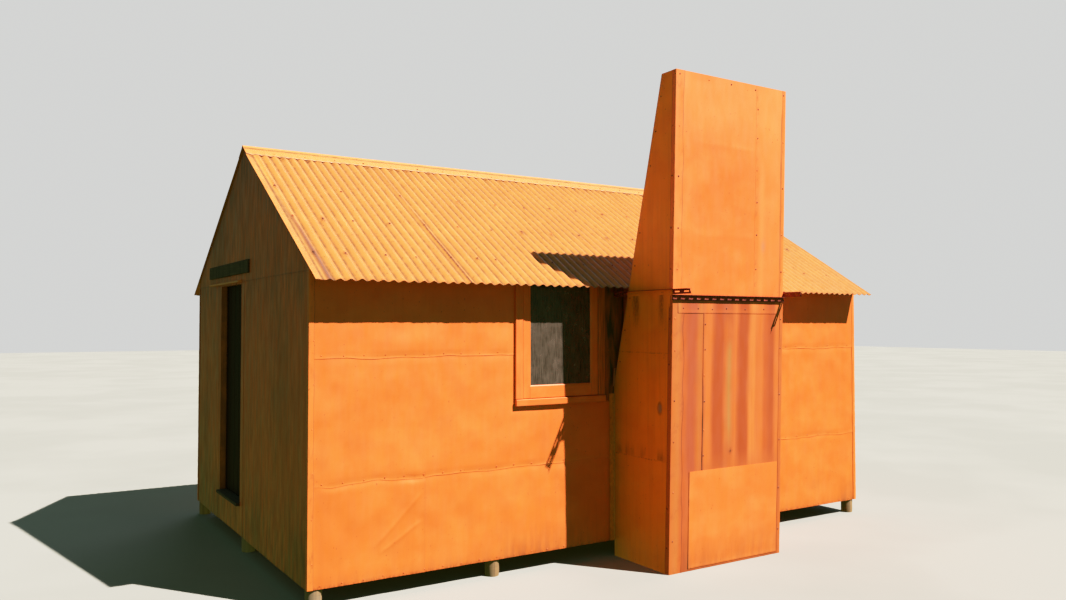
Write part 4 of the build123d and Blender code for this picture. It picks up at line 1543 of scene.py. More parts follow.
            # Painted shade: the wall between the window and the chimney is darkened nearly to black, where
            # shade falls under the eave beside the chimney.
            beside_window = self.window[1] < a < lines.chimney[0] + 0.1 and z > self.window[2] - 0.05
            painted_nook_shade = 0.95 if self.is_front and beside_window else 0.0
            splash = 0.30 * smooth((0.50 - z) / 0.35) * smooth(0.5 + 1.4 * swell(a, z, 0.35, 27.0))
            splash *= rise(a, 0.9, 0.6)
            wet_foot = 0.5 * fall(z, 0.13, 0.03) if number == 0 else 0.0
            dirt = 0.05 + 0.20 * fall(z, lines.foot, 0.12) + 0.15 * joint + painted_nook_shade + splash
            # Painted highlight: each course's lower lip is paled where it kicks out towards the sun.
            return {Mark.RUST: 0.20 * fall(z, foot, 0.006) + wet_foot,
                    Mark.FADE: 0.35 * lip * near(z - foot, 0.012, 0.02), Mark.GRIME: min(1.0, dirt)}

        draft.sheet(us, vs, place, Vector((0, -self.sign * lines.metal, 0)), keep, mark,
                    turned=not self.is_front)

    def nail_rows(self, feet: Sequence[float]) -> None:
        """Drives nails along each lap and up both ends.

        Args:
            feet: height of each course's lower edge.
        """
        rng = random.Random(3 if self.is_front else 4)
        left, right = self.lines.chimney
        spots = [(n * self.nail_step + 0.09, foot + 0.022) for foot in feet for n in range(37)]
        spots += [(a, 0.30 + n * 0.30) for a in self.end_nails for n in range(7)]
        for a, z in spots:
            a, z = a + rng.uniform(-6, 6) * MM, z + rng.uniform(-3, 3) * MM
            by_window = self.window[0] - 0.08 < a < self.window[1] + 0.08 and z > 1.25
            behind_chimney = left - 0.01 < a < right + 0.01 and z < 2.2
            if self.is_front and (by_window or behind_chimney):
                continue
            y = self.face + self.sign * (self.out(a, z) + 1.8 * MM)
            self.nails.drive((self.lines.left + a, y, z), (0, self.sign, 0))


@dataclass
class Gable:
    """A gable of upright flat sheets under a course that fills the peak."""
    lines: Lines
    iron: bpy.types.Material
    nails: Nails
    is_left: bool
    sheets: int = 4
    lap: float = 0.050
    course: float = 2.140
    # Doorway: near side and far side from the front wall, and its top
    door: tuple[float, float, float] = (1.827, 2.568, 2.255)
    over_door: float = 2.36
    sign_zone: tuple[float, float, float, float] = (1.5, 3.0, 2.25, 2.47)
    nail_step: float = 0.152
    peak_joint: float = 1.70
    strip: float = 0.045
    length: float = 3.54
    cell: float = 0.030

    def __post_init__(self) -> None:
        """Works out the sizes that follow from the others."""
        lines = self.lines
        self.sign = -1 if self.is_left else 1
        self.face = lines.left if self.is_left else lines.right
        self.inward = Vector((-self.sign * lines.metal, 0, 0))
        self.first, self.last = lines.inset, lines.rear - lines.front - lines.inset
        self.each = (self.last - self.first) / self.sheets

    def out(self, b: float, z: float) -> float:
        """How far the sheets stand out from flat.

        Args:
            b: distance from the front wall.
            z: height.

        Returns:
            The distance, in metres.
        """
        ease = rise(min(b, self.length - b), self.strip, 0.08)
        if self.is_left:
            ease *= smooth(max(self.door[0] - b, b - self.door[1], z - self.over_door, 0.0) / 0.08)
            ease *= 1 - near(z, 2.26, 0.12) * rise(b, 1.45, 0.1)
        return ease * MM * max(0.0, 3.6 + 4.0 * swell(b, z, 0.52, 11.0) + 2.4 * swell(b, z, 0.22, 12.0))

    def build(self) -> None:
        """Builds the upright sheets and the peak as one piece, and drives their nails."""
        lines = self.lines
        draft = Draft("left_gable_iron" if self.is_left else "right_gable_iron")
        top = lines.foot + self.course + self.lap
        bend = top - 0.07
        for n in range(self.sheets):
            depth = (1 + n % 2) * lines.layer
            start = self.first + n * self.each - (self.lap if 0 < n < self.sheets - 1 else 0)
            end = self.first + (n + 1) * self.each

            def place(b: float, z: float) -> Vector:
                """Point of an upright sheet's outer face.

                Args:
                    b: distance from the front wall.
                    z: height.

                Returns:
                    The point.
                """
                y = lines.front + b
                limit = min(top, lines.roof(y) - 5 * MM)
                height = z if z < bend else bend + (z - bend) * (limit - bend) / (top - bend)
                curl = smooth(1 - min(b - start, end - b) / 0.02) * (0.5 + 0.5 * swell(z, b, 0.3, 17.0)) * MM
                if depth > 2 * MM:
                    curl = 0.0
                x = self.face - self.sign * depth + self.sign * (self.out(b, z) + 0.5 * curl)
                return Vector((x, y, height))

            def keep(b: float, z: float) -> bool:
                """Whether the sheet covers a place, outside the doorway."""
                in_door = self.door[0] < b < self.door[1] and lines.floor_top < z < self.door[2]
                return not (self.is_left and in_door)

            def mark(b: float, z: float) -> Marks:
                """Rust down the laps, dirt low down, and darker towards the top under the lap.

                Args:
                    b: distance from the front wall.
                    z: height.

                Returns:
                    The marks.
                """
                lapped = smooth(1 - min(b - start, end - b) / 0.02) * smooth(0.4 + swell(z, b, 0.25, 19.0))
                return {Mark.RUST: 0.35 * lapped + 0.4 * fall(z, 0.13, 0.03),
                        Mark.GRIME: 0.30 + 0.35 * fall(z, 0.13, 0.7) + 0.25 * rise(z, 1.9, 0.4)}

            us = stations(start, end, self.cell, [
                *self.door[:2], start + 5 * MM, start + 15 * MM, end - 5 * MM, end - 15 * MM])
            vs = stations(lines.foot, top, self.cell, [lines.floor_top, self.door[2], bend])
            draft.sheet(us, vs, place, self.inward, keep, mark, turned=self.is_left)
        self.peak(draft)
        deliver(draft.make(self.iron),
                stands_for=["left_gable_cladding" if self.is_left else "right_gable_cladding"])
        self.nail_rows()

    def peak(self, draft: Draft) -> None:
        """Adds the course that fills the peak, in two sheets.

        Args:
            draft: the piece.
        """
        lines, joint = self.lines, self.peak_joint
        foot = lines.foot + self.course
        for start, end, proud in ((self.first, joint + 0.03, 0.0), (joint - 0.02, self.last, -1.1 * MM)):
            def place(b: float, v: float) -> Vector:
                """Point of the peak's outer face.

                Args:
                    b: distance from the front wall.
                    v: share of the height up to the roof.

                Returns:
                    The point.
                """
                y = lines.front + b
                z = foot + v * (lines.roof(y) - 5 * MM - foot)
                kick = fall(z, foot, 0.03) * (1.2 + 1.0 * swell(b, 0, 0.18, 23.0)) * MM
                wave = fall(z, foot, 0.05) * 2.5 * MM * swell(b, 0, 0.35, 24.0)
                x = self.face + self.sign * (proud + self.out(b, z) + kick)
                return Vector((x, y, z + wave * rise(b, 0.01, 0.1)))

            def mark(b: float, v: float) -> Marks:
                """Rust along the lower edge, and darker towards the roof.

                Args:
                    b: distance from the front wall.
                    v: share of the height up to the roof.

                Returns:
                    The marks.
                """
                z = foot + v * (lines.roof(lines.front + b) - foot)
                under_roof = smooth(1 - (1 - v) / 0.3)
                return {Mark.RUST: 0.6 * fall(z, foot, 0.014), Mark.GRIME: 0.42 + 0.25 * under_roof}

            us = stations(start, end, self.cell)
            vs = [0, 0.004, 0.012, 0.026, *stations(0.05, 1.0, 0.032)]
            draft.sheet(us, vs, place, self.inward, mark=mark, turned=self.is_left)

    def nail_rows(self) -> None:
        """Drives nails down the laps, along the peak's foot and under the roof, clear of door and sign."""
        rng = random.Random(7 if self.is_left else 8)
        lines, (zone_start, zone_end, zone_foot, zone_top) = self.lines, self.sign_zone
        spots = [(self.first + n * self.each - (0.02 if n else -0.03), 0.25 + k * 0.25)
                 for n in range(self.sheets + 1) for k in range(9)]
        spots += [(0.10 + n * self.nail_step, lines.foot + self.course + 0.02) for n in range(23)]
        spots += [(b, lines.roof(lines.front + b) - 0.06) for b in (0.15 + n * 0.25 for n in range(14))]
        for b, z in spots:
            b, z = b + rng.uniform(-6, 6) * MM, z + rng.uniform(-6, 6) * MM
            by_door = self.door[0] - 0.01 < b < self.door[1] + 0.01 and z < 2.35
            behind_sign = zone_start < b < zone_end and zone_foot < z < zone_top
            if 0.02 < b < 3.52 and not (self.is_left and (by_door or behind_sign)):
                x = self.face + self.sign * (self.out(b, z) + 2.0 * MM)
                self.nails.drive((x, lines.front + b, z), (self.sign, 0, 0))


@dataclass
class CornerStrips:
    """Folded strips over the four corners of the hut, hammered down until their folds were dented."""
    lines: Lines
    iron: bpy.types.Material
    leg: float = 0.040
    off: float = 1.3 * MM

    def build(self) -> None:
        """Builds the four strips as one piece."""
        draft = Draft("hut_corner_strips")
        lines, heights = self.lines, stations(self.lines.foot, self.lines.wall_top - 2 * MM, 0.03)
        for x, along_x in ((lines.left, -1), (lines.right, 1)):
            for y, along_y in ((lines.front, -1), (lines.rear, 1)):
                outer = (x + along_x * self.off, y + along_y * self.off)
                folded_strip(draft, lambda z: outer, (along_x, along_y), (self.leg, self.leg), heights,
                             1.2 * MM, 70 + x + 2 * y)
        deliver(draft.make(self.iron, 30), stands_for=["corner_flashings"])


@dataclass
class Window:
    """The window's boards, sill, sash and glazing beads."""
    lines: Lines
    upright_paint: bpy.types.Material
    level_paint: bpy.types.Material
    # Edges of the two upright boards, from the wall's left end
    casing: tuple[float, float, float, float] = (1.614, 1.684, 2.402, 2.472)
    glass: tuple[float, float] = (1.746, 2.340)
    sill_foot: float = 1.277
    sill_top: float = 1.330
    sill_reach: float = 30 * MM
    board: float = 20 * MM
    rail: float = 0.092
    head: float = 0.045
    # Sections of the beads in millimetres, the upright ones across the pane and the level one up from it
    upright_bead: tuple[tuple[float, float], ...] = ((0, -3), (0, -11), (4, -11), (10, -6), (10, -3.2))
    level_bead: tuple[tuple[float, float], ...] = ((-3, 0), (-12, 0), (-12, 3), (-6, 11), (-3.2, 11))

    def build(self) -> None:
        """Builds the boards that stand up, then those that lie level, and the sash."""
        left, face, top = self.lines.left, self.lines.front, self.lines.wall_top
        outer, sash_left, sash_right, far = (left + a for a in self.casing)
        boards = Draft("window_boards")
        # The right board is darkened mostly as painted shade, where the chimney's shadow falls beside it; the
        # left board's darkening is dirt.
        for low, high, dirt in ((outer, sash_left - 2 * MM, 0.15), (sash_right + 2 * MM, far, 0.80)):
            boards.board((low, face - self.board, self.sill_top + 1 * MM), (high, face, top), 3 * MM,
                         {Mark.GRIME: dirt})
        deliver(boards.make(self.upright_paint), stands_for=["window_surround"])
        sill = Draft("window_sill")
        y_out, y_in, z_low, z_high = face - self.sill_reach, face, self.sill_foot, self.sill_top
        section = ((y_in, z_low), (y_in, z_high), (y_out + 3 * MM, z_high - 3 * MM), (y_out, z_high - 6 * MM),
                   (y_out, z_low + 3 * MM), (y_out + 3 * MM, z_low))
        end = ((y_in, z_low + 2 * MM), (y_in, z_high - 2 * MM), (y_out + 5 * MM, z_high - 6 * MM),
               (y_out + 2 * MM, z_high - 8 * MM), (y_out + 2 * MM, z_low + 5 * MM))
        sill.solid([(x + inward, y, z) for x, inward in ((outer, 2 * MM), (far, -2 * MM)) for y, z in section]
                   + [(x, y, z) for x in (outer, far) for y, z in end], {Mark.GRIME: 0.2})
        deliver(sill.make(self.level_paint))
        self.sash(left, face, top)

    def sash(self, left: float, face: float, top: float) -> None:
        """Builds the sash: stiles, rails and the beads that hold the pane.

        Args:
            left: X of the wall's left end.
            face: Y of the wall's face.
            top: height of the wall's top.
        """
        glass_left, glass_right = left + self.glass[0], left + self.glass[1]
        glass_foot, glass_top = self.sill_top + self.rail, top - self.head
        y_out, y_in = face - 13 * MM, face + 4 * MM
        foot = self.sill_top + 3 * MM
        stiles = Draft("sash_stiles")
        stiles.board((left + self.casing[1] + 1 * MM, y_out, foot), (glass_left, y_in, top))
        stiles.board((glass_right, y_out, foot), (left + self.casing[2] - 1 * MM, y_in, top))
        for x, side in ((glass_left, 1), (glass_right, -1)):
            stiles.solid([(x + side * a * MM, face + b * MM, z) for a, b in self.upright_bead
                          for z in (glass_foot, glass_top)])
        deliver(stiles.make(self.upright_paint), stands_for=["window_sash"])
        rails = Draft("sash_rails")
        rail_left, rail_right, rail_out = glass_left + 0.5 * MM, glass_right - 0.5 * MM, y_out + 1 * MM
        rails.board((rail_left, rail_out, foot), (rail_right, y_in, glass_foot), marks={Mark.FADE: 0.3})
        rails.board((rail_left, rail_out, glass_top), (rail_right, y_in, top))
        rails.solid([(x, face + b * MM, glass_foot + z * MM) for x in (glass_left, glass_right)
                     for b, z in self.level_bead], {Mark.FADE: 1.0})
        deliver(rails.make(self.level_paint))


@dataclass
class Doorway:
    """The door's boards, ledges and braces, and the bare sign board over the doorway."""
    lines: Lines
    stain_up: bpy.types.Material
    stain_across: bpy.types.Material
    sign_stain: bpy.types.Material
    boards: int = 5
    groove: float = 3 * MM
    board_thickness: float = 22 * MM
    ledge: float = 0.110
    brace: float = 0.095
    ledge_inset: float = 0.045
    ledge_from_end: float = 0.170

    def build(self) -> None:
        """Builds the leaf's boards, then its ledges and braces, and the sign board."""
        low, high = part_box("door_leaf")
        split = low[0] + self.board_thickness
        leaf = Draft("door_boards")
        width = (high[1] - low[1]) / self.boards
        for n in range(self.boards):
            start = low[1] + n * width
            first_edge = start + (self.groove / 2 if n else 0)
            last_edge = start + width - (self.groove / 2 if n < self.boards - 1 else 0)
            leaf.board((low[0], first_edge, low[2]), (split, last_edge, high[2]), 3 * MM)
        for n in range(1, self.boards):
            y = low[1] + n * width
            leaf.board((low[0] + 7 * MM, y - 4 * MM, low[2] + 2 * MM),
                       (split - 6 * MM, y + 4 * MM, high[2] - 2 * MM), 1 * MM)
        deliver(leaf.make(self.stain_up), "door", ["door_leaf"])
        side, other = low[1] + self.ledge_inset, high[1] - self.ledge_inset
        heights = [low[2] + self.ledge_from_end, (low[2] + high[2]) / 2, high[2] - self.ledge_from_end]
        backs = Draft("door_ledges")
        for z in heights:
            backs.board((split, side, z - self.ledge / 2), (high[0], other, z + self.ledge / 2), 4 * MM)
        for foot, top in zip(heights, heights[1:]):
            z0, z1 = foot + self.ledge / 2, top - self.ledge / 2
            backs.solid([(x, y, z) for x in (split, high[0]) for y, z in (
                (other, z0), (other - self.brace, z0), (side, z1), (side + self.brace, z1))])
        deliver(backs.make(self.stain_across), "door")
        low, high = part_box("sign_board")
        sign = Draft("bare_sign_board")
        sign.board(low, high, 4 * MM)
        deliver(sign.make(self.sign_stain), stands_for=["sign_board"])


@dataclass
class Chimney:
    """The sheet iron chimney: front in an upper and a lower sheet, tapered sides, back, and corner strips."""
    lines: Lines
    enamel: bpy.types.Material
    heated: bpy.types.Material
    # Enamel of the left side, brightened as painted bounce light
    bounce_lit_side_enamel: bpy.types.Material
    nails: Nails
    width: float = 1.215
    foot_depth: float = 0.667
    top_depth: float = 0.779
    top_back: float = 0.612
    top: float = 3.857
    knee: float = 1.420
    break_at: float = 2.128
    metal: float = 0.8 * MM
    upper_lap: float = 0.900
    # Each side's sheets: lower edge, upper edge, and how far they stand off the side in millimetres
    side_sheets: tuple[tuple[float, float, float], ...] = (
        (0.0, 0.87, 0.0), (0.845, 1.705, 0.45), (1.68, 3.857, 0.9))
    creases: tuple[float, float] = (3.33, 2.60)
    scuff: tuple[float, float] = (0.968, 2.547)
    rivet_seam: float = 1.168
    burnt_spot: tuple[float, float] = (0.628, 0.896)
    disc: tuple[float, float] = (0.575, 1.257)
    strips_wide: tuple[float, float, float] = (0.083, 0.121, 0.040)
    strips_deep: float = 0.045
    strips_off: float = 1.25 * MM
    cell: float = 0.024

    def __post_init__(self) -> None:
        """Finds the X of both sides."""
        self.left = self.lines.left + self.lines.chimney[0]
        self.right = self.left + self.width

    def depth(self, z: float) -> float:
        """How far the front stands out from the wall at a height."""
        return self.foot_depth + (self.top_depth - self.foot_depth) * z / self.top

    def back(self, z: float) -> float:
        """How far the back stands out from the wall at a height."""
        return max(0.0, (z - self.knee) / (self.top - self.knee)) * self.top_back

    def out(self, x: float, z: float) -> float:
        """How far the front sheets stand in or out from flat.

        Args:
            x: distance from the chimney's left edge.
            z: height.

        Returns:
            The distance, in metres.
        """
        ease = smooth(min(x - 0.085, self.width - 0.042 - x) / 0.10) * smooth((self.top - z) / 0.06)
        ease *= smooth(z / 0.05)
        ease *= smooth(abs(z - self.break_at + 0.016) / 0.10)
        return ease * MM * (4.0 * swell(x, z, 0.60, 31.0) + 2.6 * swell(x, z, 0.22, 32.0))

    def low_out(self, x: float, z: float) -> float:
        """How far the sheets over the fire stand out: they have buckled in long upright folds."""
        ease = smooth(min(x - 0.10, self.width - 0.042 - x) / 0.08) * smooth((self.break_at - z) / 0.12)
        return 0.7 * self.out(x, z) + ease * 3.0 * MM * swell(x, z * 0.12, 0.09, 35.0)

    def front_point(self, x: float, z: float, proud: float = 0.0) -> Vector:
        """Point of the front's face, or of one that stands proud of it."""
        return Vector((self.left + x, self.lines.front - self.depth(z) - proud, z))

    def build(self) -> None:
        """Builds the sheets, the strips over the corners and along the wall, and the nails."""
        self.upper_front()
        self.lower_front()
        self.sides()
        self.back_sheet()
        self.strips()
        self.wall_strips()
        self.nail_rows()

    def upper_front(self) -> None:
        """Builds the two upper sheets, with an upright lap, faint level creases and a pale streak."""
        upper = Draft("chimney_upper_front")
        lap, (scuff_x, scuff_z) = self.upper_lap, self.scuff
        for low, high, proud in ((0.0, lap, 0.0), (lap - 0.030, self.width - 2 * MM, 0.7 * MM)):
            def place(x: float, z: float) -> Vector:
                """Point of an upper sheet's outer face.

                Args:
                    x: distance from the chimney's left edge.
                    z: height.

                Returns:
                    The point.
                """
                lift = proud * (1 + 0.8 * fall(x, low, 0.03) * swell(z, 0, 0.2, 33.0))
                crease = sum(math.exp(-abs(z - level - 0.03 * swell(x, 0, 0.3, level)) / 0.014)
                             for level in self.creases)
                crease *= 1.8 * MM * rise(x, 0.15, 0.2) * smooth((0.88 - x) / 0.1)
                return self.front_point(x, z, self.out(x, z) + lift + crease)

            def mark(x: float, z: float) -> Marks:
                """Paler near the top and right of the lap, with a little rust where the lap is riveted.

                Args:
                    x: distance from the chimney's left edge.
                    z: height.

                Returns:
                    The marks.
                """
                pale = rise(z, 3.05, 0.7) * 0.7 + 0.45 * rise(x, 0.80, 0.3) * rise(z, 2.1, 0.3)
                streak = rivets = beside = 0.0
                if proud:
                    streak = near(x, 0.945, 0.05) * smooth((3.4 - z) / 0.5) * 0.6
                    rivets = near(x - low, 0.008, 0.008) * smooth(3 * swell(z, 0, 0.045, 34.0))
                    beside = 0.9 * near(x, self.rivet_seam, 0.009) * smooth((3.70 - z) / 0.1)
                bare = math.exp(-((x - scuff_x) / 0.024) ** 2 - ((z - scuff_z) / 0.050) ** 2)
                return {Mark.FADE: min(pale + streak, 1.0), Mark.GRIME: 0.04 + beside, Mark.BARE: 0.40 * bare,
                        Mark.RUST: 0.45 * fall(z, self.break_at, 0.02) + 0.7 * rivets}

            us = stations(low, high, self.cell, [
                low + 4 * MM, low + 12 * MM, 0.952, scuff_x, 0.984, 1.160, self.rivet_seam, 1.174])
            vs = stations(self.break_at, self.top, self.cell, [
                2.49, 2.52, scuff_z, 2.575, 2.605, 3.30, 3.315, 3.33, 3.345])
            upper.sheet(us, vs, place, Vector((0, self.metal, 0)), mark=mark)
        deliver(upper.make(self.enamel), stands_for=["chimney_front_upper"])

    def lower_front(self) -> None:
        """Builds the lower sheet, the sheet lapped over it, the joint strip and the lowest patch."""
        inward = Vector((0, self.metal, 0))
        spot_x, spot_z = self.burnt_spot

        def sheet(name: str, finish: bpy.types.Material, low: float, high: float, foot: float, top: float,
                  proud: float, lip: float, stands_for: Sequence[str] = (), foot_lip: float = 1.0) -> None:
            """Adds one sheet as a piece.

            Args:
                name: name of the piece.
                finish: its finish.
                low: its left edge, from the chimney's left edge.
                high: its right edge.
                foot: its lower edge.
                top: its upper edge.
                proud: how far it stands off the front.
                lip: how much further its left and lower edges curl out.
                stands_for: nodes that it replaces.
                foot_lip: share of the lip that its lower edge has.
            """
            draft = Draft(name)

            def place(x: float, z: float) -> Vector:
                """Point of the sheet's outer face.

                Args:
                    x: distance from the chimney's left edge.
                    z: height.

                Returns:
                    The point.
                """
                curl = lip * max(fall(x, low, 0.03), foot_lip * fall(z, foot, 0.03))
                curl *= 1 if foot_lip else rise(z, 0.80, 0.05)
                tucked = rise(z, 2.04, 0.04)
                curl *= 0.7 + 0.5 * swell(z, x, 0.15, 36.0)
                stand = proud * (1 - 0.5 * tucked) + curl * (1 - tucked)
                return self.front_point(x, z, stand + self.low_out(x, z))

            def mark(x: float, z: float) -> Marks:
                """Dirt along the left edge and up from the ground, and a little rust under the strip.

                Args:
                    x: distance from the chimney's left edge.
                    z: height.

                Returns:
                    The marks.
                """
                gap = smooth((1.50 - z) / 0.1) * (foot_lip == 0)
                edge = smooth(1 - (x - low) / (0.009 + 0.011 * gap)) * (lip > 0)
                spot = math.exp(-((x - spot_x) ** 2 + (z - spot_z) ** 2) / 0.014 ** 2)
                worn = 0.8 * edge * smooth(0.5 + swell(z, 0, 0.1, 37.0))
                return {Mark.RUST: min(1.0, 0.35 * fall(z, foot, 0.010) + worn),
                        Mark.GRIME: min(1.0, 0.4 * smooth(1 - z / 0.35) + (0.8 + 0.4 * gap) * edge + spot),
                        Mark.FADE: 0.5 * near(z - foot, 0.02, 0.02) * (lip > 0)}

            us = stations(low, high, self.cell, [
                low + 4 * MM, low + 10 * MM, low + 16 * MM, 0.614, spot_x, 0.642])
            vs = stations(foot, top, self.cell, [foot + 4 * MM, foot + 12 * MM, 0.882, spot_z, 0.910])
            draft.sheet(us, vs, place, inward, mark=mark)
            deliver(draft.make(finish), stands_for=stands_for)

        right = self.width - 0.045
        sheet("chimney_lower_front", self.heated, 0.0, self.width - 2 * MM, 0.0, self.break_at - 0.5 * MM,
              0.0, 0.0, ["chimney_front_lower"])
        sheet("chimney_lapped_sheet", self.heated, 0.318, right, 0.74, 2.01, 0.9 * MM, 1.8 * MM, foot_lip=0.0)
        sheet("chimney_joint_strip", self.heated, 0.050, right, 1.994, 2.124, 2.4 * MM, 1.4 * MM)
        sheet("chimney_patch_sheet", self.enamel, 0.190, right, 0.02, 0.768, 2.2 * MM, 1.2 * MM)

    def sides(self) -> None:
        """Builds both sides, each in three sheets with level laps."""
        # The left side takes the enamel with painted bounce light; the right side keeps the chimney's own
        # enamel.
        for name, sign, finish in (("chimney_left_side", -1, self.bounce_lit_side_enamel),
                                   ("chimney_right_side", 1, self.enamel)):
            side = Draft(name)
            for foot, top, layer in self.side_sheets:
                self.side_sheet(side, sign, foot, top, layer)
            deliver(side.make(finish), stands_for=["chimney_sides"] if sign < 0 else [])

    def side_sheet(self, draft: Draft, sign: int, foot: float, top: float, layer: float) -> None:
        """Adds one sheet of a side, with dirt that ran down it.

        Args:
            draft: the piece.
            sign: which way the side faces along X.
            foot: the sheet's lower edge.
            top: its upper edge.
            layer: how far it stands off the side, in millimetres.
        """
        x_face = self.left if sign < 0 else self.right
        disc_reach, disc_z = self.disc

        def place(u: float, z: float) -> Vector:
            """Point of the sheet's outer face.

            Args:
                u: share of the depth, from the back to the front.
                z: height.

            Returns:
                The point.
            """
            back, front = self.back(z), self.depth(z) - self.metal
            reach = back + u * (front - back)
            ease = smooth(u / 0.15) * smooth((1 - u) / 0.15)
            bulge = ease * (3.6 * swell(reach, z, 0.5, 51.0) + 2.0 * swell(reach, z, 0.2, 52.0))
            lip = ease * fall(z, foot, 0.02) * (1.2 + 1.2 * swell(reach, 0, 0.15, 53.0)) * (layer > 0)
            wave = ease * fall(z, foot, 0.05) * 5 * MM * swell(reach, 0, 0.2, 54.0) * (layer > 0)
            return Vector((x_face + sign * (bulge + lip + layer) * MM, self.lines.front - reach, z + wave))

        def mark(u: float, z: float) -> Marks:
            """Rust along the laps and under the brace, dirt above the lower lap, and a bare rear edge.

            Args:
                u: share of the depth, from the back to the front.
                z: height.

            Returns:
                The marks.
            """
            reach = self.back(z) + u * (self.depth(z) - self.back(z))
            drips = rise(z, 1.80, 0.33) * smooth((2.16 - z) / 0.02)
            drips *= smooth(0.25 + 1.4 * swell(reach, z * 0.08, 0.045, 55.0))
            over_lap = fall(z, 0.86, 0.12) * rise(z, 0.85, 0.01)
            over_lap *= smooth(0.35 + 1.4 * swell(reach, z * 0.2, 0.05, 56.0))
            edge = fall(z, foot, 0.012) if layer else 0.0
            worn = 0.9 * edge * smooth(0.5 + swell(reach, z, 0.06, 57.0))
            rear = fall(reach, self.back(z), 0.02) * rise(z, self.knee, 0.1)
            off_disc = math.hypot((reach - disc_reach) / 0.023, (z - disc_z) / 0.038)
            rim = near(off_disc, 1.15, 0.45)
            dirt = 0.6 * drips + 0.6 * over_lap + 0.10 * smooth(1 - z / 0.3) + 0.6 * rim
            rubbed = 0.85 * smooth((1.15 - off_disc) / 0.4)
            return {Mark.RUST: min(1.0, worn + 0.5 * drips), Mark.GRIME: min(1.0, dirt),
                    Mark.BARE: max(rubbed, 0.35 * rear, 0.05 * smooth((1.5 - z) / 0.6))}

        us = stations(0, 1, 0.04, [0.012, 0.03, *(0.75 + n * 0.0125 for n in range(10))])
        vs = stations(foot, top, self.cell, [foot + 4 * MM, foot + 12 * MM, self.knee, *(
            disc_z + n * 0.010 for n in range(-6, 7))])
        draft.sheet(us, vs, place, Vector((-sign * self.metal, 0, 0)), mark=mark, turned=sign > 0)

    def back_sheet(self) -> None:
        """Builds the back, from the knee at the wall to the top."""
        draft = Draft("chimney_back_sheet")

        def place(x: float, z: float) -> Vector:
            """Point of the back's outer face.

            Args:
                x: distance from the chimney's left edge.
                z: height.

            Returns:
                The point.
            """
            ease = smooth(min(x, self.width - x) / 0.1) * rise(z, self.knee, 0.3)
            reach = self.back(z) - ease * 2.5 * MM * swell(x, z, 0.5, 61.0)
            return Vector((self.left + x, self.lines.front - reach, z))

        us = stations(self.metal, self.width - self.metal, 0.045)
        vs = stations(self.knee + 1 * MM, self.top, 0.045)
        draft.sheet(us, vs, place, Vector((0, -self.metal, 0)), turned=True)
        deliver(draft.make(self.enamel), stands_for=["chimney_back"])

    def strips(self) -> None:
        """Builds the folded strips over the front corners, wider on the lower left."""
        cool, hot = Draft("chimney_upper_strips"), Draft("chimney_lower_strips")
        joint, (upper, lower, right) = self.break_at, self.strips_wide
        for draft, x, along_x, wide, low, high in (
                (cool, self.left, -1, upper, joint + 1 * MM, self.top),
                (hot, self.left, -1, lower, 0.0, joint - 1 * MM),
                (cool, self.right, 1, right, joint, self.top),
                (hot, self.right, 1, right, 0.0, joint)):
            def corner(z: float) -> tuple[float, float]:
                """X and Y of the strip's corner, off the sheets below it."""
                return x + along_x * self.strips_off, self.lines.front - self.depth(z) - self.strips_off

            folded_strip(draft, corner, (along_x, -1), (wide, self.strips_deep), stations(low, high, 0.04),
                         0.8 * MM, 90 + x + low)
        deliver(cool.make(self.enamel, 30))
        deliver(hot.make(self.heated, 30))

    def wall_strips(self) -> None:
        """Builds the strips that close the sides against the wall, and the torn tongue over the left one."""
        draft = Draft("chimney_wall_strips")
        front = self.lines.front
        # Each point of the section: distance from the side, distance from the wall in millimetres
        section = ((0.052, 2.2), (0.047, 1.6), (0.028, 1.3), (0.006, 1.2), (0.0022, 5.0), (0.0014, 12.0))
        for sign, x_face in ((-1, self.left), (1, self.right)):
            def place(u: float, z: float) -> Vector:
                """Point of the strip's outer face.

                Args:
                    u: place over the strip, as a count from its edge on the wall.
                    z: height.

                Returns:
                    The point.
                """
                reach, off = section[round(u)]
                stray = 1 + 0.2 * swell(z, u, 0.2, 62.0) if u < 2 else 1.0
                off += max(0.0, swell(z, u, 0.3, 63.0))
                return Vector((x_face + sign * reach * stray, front - off * MM, z))

            def mark(u: float, z: float) -> Marks:
                """Dirt along the edge on the wall, and a little rust all over."""
                return {Mark.BARE: 0.10, Mark.GRIME: 0.6 if u < 1 else 0.15, Mark.RUST: 0.25}

            draft.sheet(range(len(section)), stations(self.lines.foot, 1.335, 0.04), place,
                        Vector((-sign, 1, 0)) * 0.6 * MM, mark=mark, turned=sign > 0)

        def tongue(u: float, v: float) -> Vector:
            """Point of the tongue's outer face, from its root on the chimney to its curled end."""
            x = self.left - 0.006 - 0.034 * u + 0.012 * v
            return Vector((x, front - 0.012 - 0.020 * u * u, 1.395 + 0.150 * v))

        draft.sheet(stations(0, 1, 0.2), stations(0, 1, 0.15), tongue, Vector((0.3, 1, 0)) * 0.8 * MM,
                    mark=lambda u, v: {Mark.BARE: 0.55, Mark.RUST: 0.4 if v < 0.1 else 0.1}, turned=True)
        # The wall strips and the tongue take the left side's enamel with its painted bounce light.
        deliver(draft.make(self.bounce_lit_side_enamel))

    def nail_rows(self) -> None:
        """Drives nails down the corners and the laps, along the top, and along the strip."""
        rng = random.Random(21)
